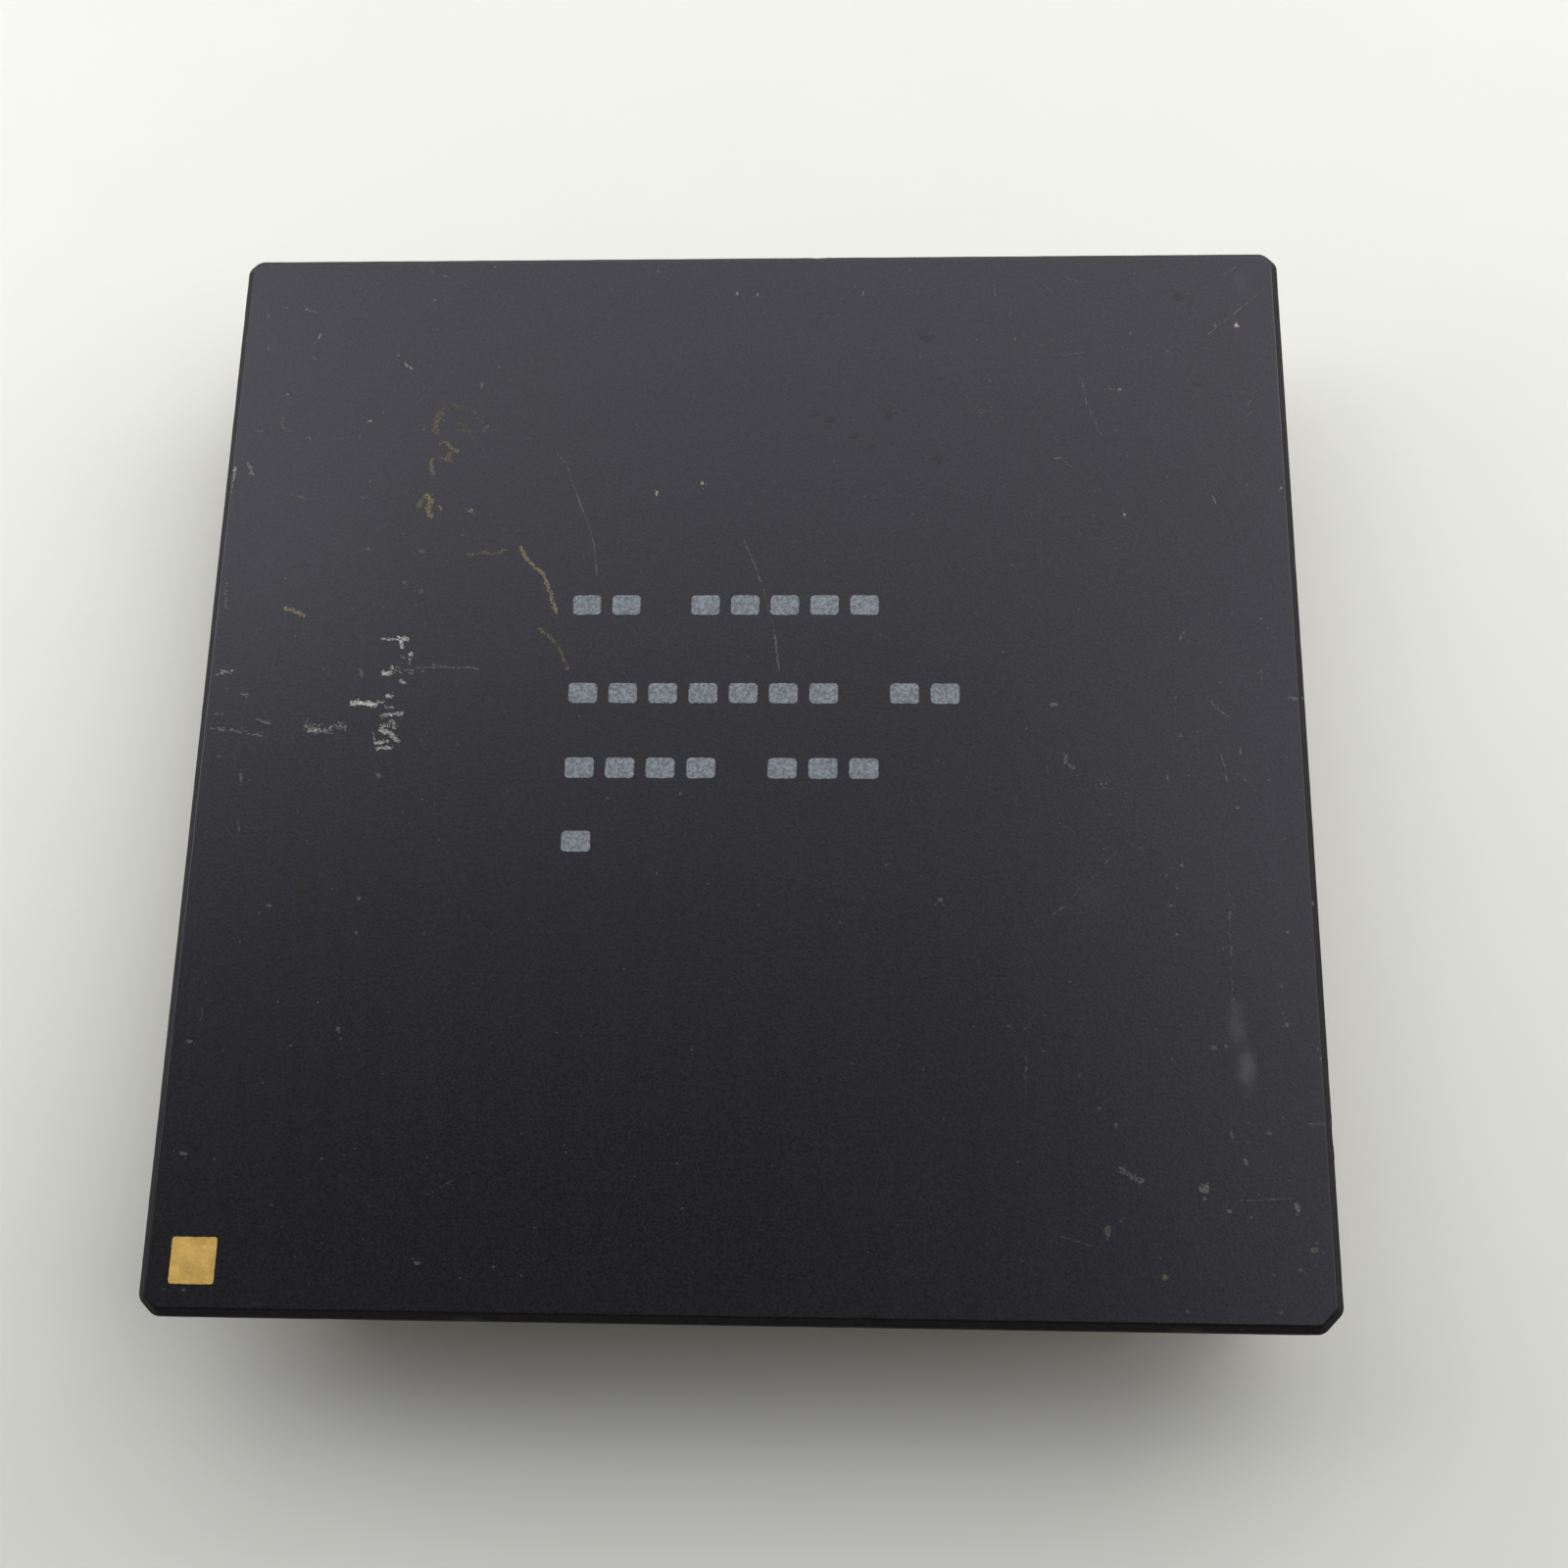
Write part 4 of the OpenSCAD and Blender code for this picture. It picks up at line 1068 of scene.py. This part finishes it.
def build_joints(sizes, colours):
    """Plated pads under the pins, and the hollow fillet of braze round each pin's head."""
    rng = random.Random(41)
    plain, collared = pin_places(sizes.pitch)
    spots_used = plain + collared
    radius = sizes.pin_diameter / 2
    fillet = sizes.braze_fillet
    size = fillet + sizes.braze_lip
    hollow = [(radius + size - fillet * math.sin(t), fillet * math.cos(t) - size) for t in quarter_turns(2)]
    ring = [(radius, 0), (radius + size, 0), *hollow, (radius, -size), (radius, 0)]
    places = []
    for spot in spots_used:
        swell = rng.uniform(0.92, 1.0)
        turn = Matrix.Rotation(rng.uniform(0, 1), 4, "Z")
        where = Matrix.Translation((spot.x, spot.y, PAD_FACE))
        places.append(where @ turn @ Matrix.Diagonal((swell, swell, swell, 1)))
    braze = gold_finish("gold_on_silver_braze", colours.braze, 0.36, 0.12)
    bm = set_out(turned_mesh(ring, PIN_SIDES), places)
    finish_piece("braze_fillets", bm, braze, 50, ["pin_brazes"])

    reach = sizes.pad_diameter / 2
    face = [(0, PAD_FACE), (reach - PAD_EDGE, PAD_FACE), (reach, PAD_FACE + PAD_EDGE)]
    disc = [*face, (reach, PIN_FACE), (0, PIN_FACE)]
    bm = set_out(turned_mesh(disc, PAD_SIDES), [Matrix.Translation(p) for p in spots_used])
    gold = gold_finish("gold_on_pad_film", colours.gold_film, 0.5, 0.06)
    finish_piece("gold_pin_pads", bm, gold, 30, ["pin_pads"])


# Lid and what it covers


def build_lid(sizes, colours):
    """Stamped and plated lid with rolled edges, its solder and the seal ring round it."""
    low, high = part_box("lid")
    flat = Matrix.Translation((0, 0, low.z))
    bm = bmesh.new()
    bmesh.ops.create_grid(bm, x_segments=1, y_segments=1, size=high.x, matrix=flat)
    bevel(bm, bm.verts[:], sizes.lid_corner, 8, "VERTICES")
    thicken(bm, high.z - low.z)
    rim = [edge for edge in bm.edges if is_level(edge) and edge.verts[0].co.z < (low.z + high.z) / 2]
    bevel(bm, rim, sizes.lid_edge, 3)
    gold = gold_finish("gold_on_stamped_sheet", colours.gold_bright, 0.34, 0.1, (1, 0.05, 1))
    finish_piece("gold_lid", bm, gold, 20, ["lid"])
    paint_node("lid_solder", gold_finish("gold_tin_solder", colours.solder, 0.42, 0.2))
    paint_node("seal_ring", gold_finish("gold_on_seal_film", colours.gold_film, 0.5, 0.06))


def build_inside(colours):
    """Finishes of the die and its bonding, which the lid covers."""
    film = gold_finish("gold_on_cavity_film", colours.gold_film, 0.5, 0.06)
    for node in ("die_pad", "inner_bond_fingers", "outer_bond_fingers"):
        paint_node(node, film)
    paint_node("die_attach", gold_finish("gold_silicon_bond", colours.die_bond, 0.6, 0.1))
    paint_node("die", silicon_finish(colours))
    wire = gold_finish("drawn_aluminium_wire", colours.wire, 0.3, 0.03)
    for node in ("inner_bond_wires", "outer_bond_wires"):
        paint_node(node, wire)


# Stage

CAMERA_PLACE = Vector((4.83, -22.98, 79.31)) * MM
CAMERA_TURN = (16.504, 2.316, 0.924)
CAMERA_LENS = 43.75
CLIP_START = 0.002
FLOOR_REACH = 1.0
WALL_HEIGHT = 0.5
COVE_RADIUS = 0.3
WORLD_TONE = (0.06, 0.06, 0.06, 1)

# A panel is its name, its place, its two sides and how bright it is to look at
PANELS = (
    ("far_high_panel", (-0.017, 0.119, 0.134), (0.458, 0.121), 1.6),
    ("top_panel", (0.0, 0.047, 0.165), (0.15, 0.04), 0.53),
    ("far_low_panel", (0.082, 0.238, 0.175), (0.48, 0.04), 4.3),
    ("left_panel", (-0.11, 0.06, 0.135), (0.135, 0.068), 0.8),
    ("left_low_panel", (-0.085, 0.02, 0.045), (0.06, 0.04), 1.95),
    ("right_panel", (0.143, 0.027, 0.117), (0.16, 0.276), 1.42),
)


def add_panel(name, place, size, radiance):
    """Soft light panel that faces the part, as bright to look at as radiance."""
    light = bpy.data.lights.new(name, "AREA")
    light.shape = "RECTANGLE"
    light.size, light.size_y = size
    light.energy = radiance * math.pi * size[0] * size[1]
    panel = bpy.data.objects.new(name, light)
    panel.location = place
    panel.rotation_euler = Vector(place).to_track_quat("Z", "Y").to_euler()
    panel.visible_camera = False
    bpy.context.scene.collection.objects.link(panel)


def build_stage(colours):
    """Pale floor that curves up into a backdrop all round, soft panels, and the camera."""
    scene = bpy.context.scene
    flat = FLOOR_REACH - COVE_RADIUS
    cove = [(flat + COVE_RADIUS * math.sin(t), COVE_RADIUS * (1 - math.cos(t))) for t in quarter_turns(10)]
    mesh = turned_mesh([(0, 0), *cove, (FLOOR_REACH, WALL_HEIGHT)], 64)
    mesh.shade_smooth()
    mesh.materials.append(floor_finish(colours))
    floor = bpy.data.objects.new("floor", mesh)
    scene.collection.objects.link(floor)

    for panel in PANELS:
        add_panel(*panel)

    world = bpy.data.worlds.new("studio")
    world.use_nodes = True
    world.node_tree.nodes["Background"].inputs["Color"].default_value = WORLD_TONE
    scene.world = world

    camera_data = bpy.data.cameras.new("camera")
    camera_data.lens = CAMERA_LENS
    camera_data.clip_start = CLIP_START
    camera = bpy.data.objects.new("camera", camera_data)
    camera.location = CAMERA_PLACE
    camera.rotation_euler = [math.radians(turn) for turn in CAMERA_TURN]
    scene.collection.objects.link(camera)
    scene.camera = camera
    scene.view_settings.view_transform = "Standard"


# Operators and panel


def run(context, build):
    """Builds a group of pieces with the scene's sizes and colours."""
    build(context.scene.processor_sizes, context.scene.processor_colours)
    return {"FINISHED"}


class PROCESSOR_OT_ceramic(bpy.types.Operator):
    """Builds the ceramic body"""

    bl_idname = "processor.ceramic"
    bl_label = "Ceramic Body"

    def execute(self, context):
        return run(context, build_slab)


class PROCESSOR_OT_index_mark(bpy.types.Operator):
    """Builds the gold index mark"""

    bl_idname = "processor.index_mark"
    bl_label = "Index Mark"

    def execute(self, context):
        return run(context, build_index_mark)


class PROCESSOR_OT_ink(bpy.types.Operator):
    """Builds the blocks of marking ink"""

    bl_idname = "processor.ink"
    bl_label = "Ink"

    def execute(self, context):
        return run(context, build_ink)


class PROCESSOR_OT_wear(bpy.types.Operator):
    """Builds the scuffs, scratches and specks"""

    bl_idname = "processor.wear"
    bl_label = "Wear"

    def execute(self, context):
        return run(context, build_wear)


class PROCESSOR_OT_pins(bpy.types.Operator):
    """Builds the contact pins and the standoff pins"""

    bl_idname = "processor.pins"
    bl_label = "Pins"

    def execute(self, context):
        return run(context, build_pins)


class PROCESSOR_OT_joints(bpy.types.Operator):
    """Builds the pads and the braze fillets"""

    bl_idname = "processor.joints"
    bl_label = "Pads and Brazes"

    def execute(self, context):
        return run(context, build_joints)


class PROCESSOR_OT_lid(bpy.types.Operator):
    """Builds the lid and finishes its seal"""

    bl_idname = "processor.lid"
    bl_label = "Lid and Seal"

    def execute(self, context):
        return run(context, build_lid)


class PROCESSOR_OT_inside(bpy.types.Operator):
    """Finishes the die and its bonding"""

    bl_idname = "processor.inside"
    bl_label = "Die and Bonding"

    def execute(self, context):
        build_inside(context.scene.processor_colours)
        return {"FINISHED"}


class PROCESSOR_OT_stage(bpy.types.Operator):
    """Builds the floor, the lights and the camera"""

    bl_idname = "processor.stage"
    bl_label = "Stage"

    def execute(self, context):
        build_stage(context.scene.processor_colours)
        return {"FINISHED"}


OPERATORS = (
    PROCESSOR_OT_stage,
    PROCESSOR_OT_ceramic,
    PROCESSOR_OT_index_mark,
    PROCESSOR_OT_ink,
    PROCESSOR_OT_wear,
    PROCESSOR_OT_pins,
    PROCESSOR_OT_joints,
    PROCESSOR_OT_lid,
    PROCESSOR_OT_inside,
)


class PROCESSOR_PT_panel(bpy.types.Panel):
    """Lists the pieces of the processor"""

    bl_idname = "PROCESSOR_PT_panel"
    bl_label = "Processor"
    bl_space_type = "VIEW_3D"
    bl_region_type = "UI"
    bl_category = "Processor"

    def draw(self, context):
        for operator in OPERATORS:
            self.layout.operator(operator.bl_idname)
        for group in (context.scene.processor_sizes, context.scene.processor_colours):
            for name in group.__annotations__:
                self.layout.prop(group, name)


CLASSES = (ProcessorSizes, ProcessorColours, *OPERATORS, PROCESSOR_PT_panel)


def register():
    for item in CLASSES:
        bpy.utils.register_class(item)
    bpy.types.Scene.processor_sizes = bpy.props.PointerProperty(type=ProcessorSizes)
    bpy.types.Scene.processor_colours = bpy.props.PointerProperty(type=ProcessorColours)


def unregister():
    del bpy.types.Scene.processor_colours
    del bpy.types.Scene.processor_sizes
    for item in reversed(CLASSES):
        bpy.utils.unregister_class(item)


def main():
    """Builds every piece in order."""
    register()
    bpy.ops.processor.stage()
    bpy.ops.processor.ceramic()
    bpy.ops.processor.index_mark()
    bpy.ops.processor.ink()
    bpy.ops.processor.wear()
    bpy.ops.processor.pins()
    bpy.ops.processor.joints()
    bpy.ops.processor.lid()
    bpy.ops.processor.inside()


if __name__ == "__main__":
    main()
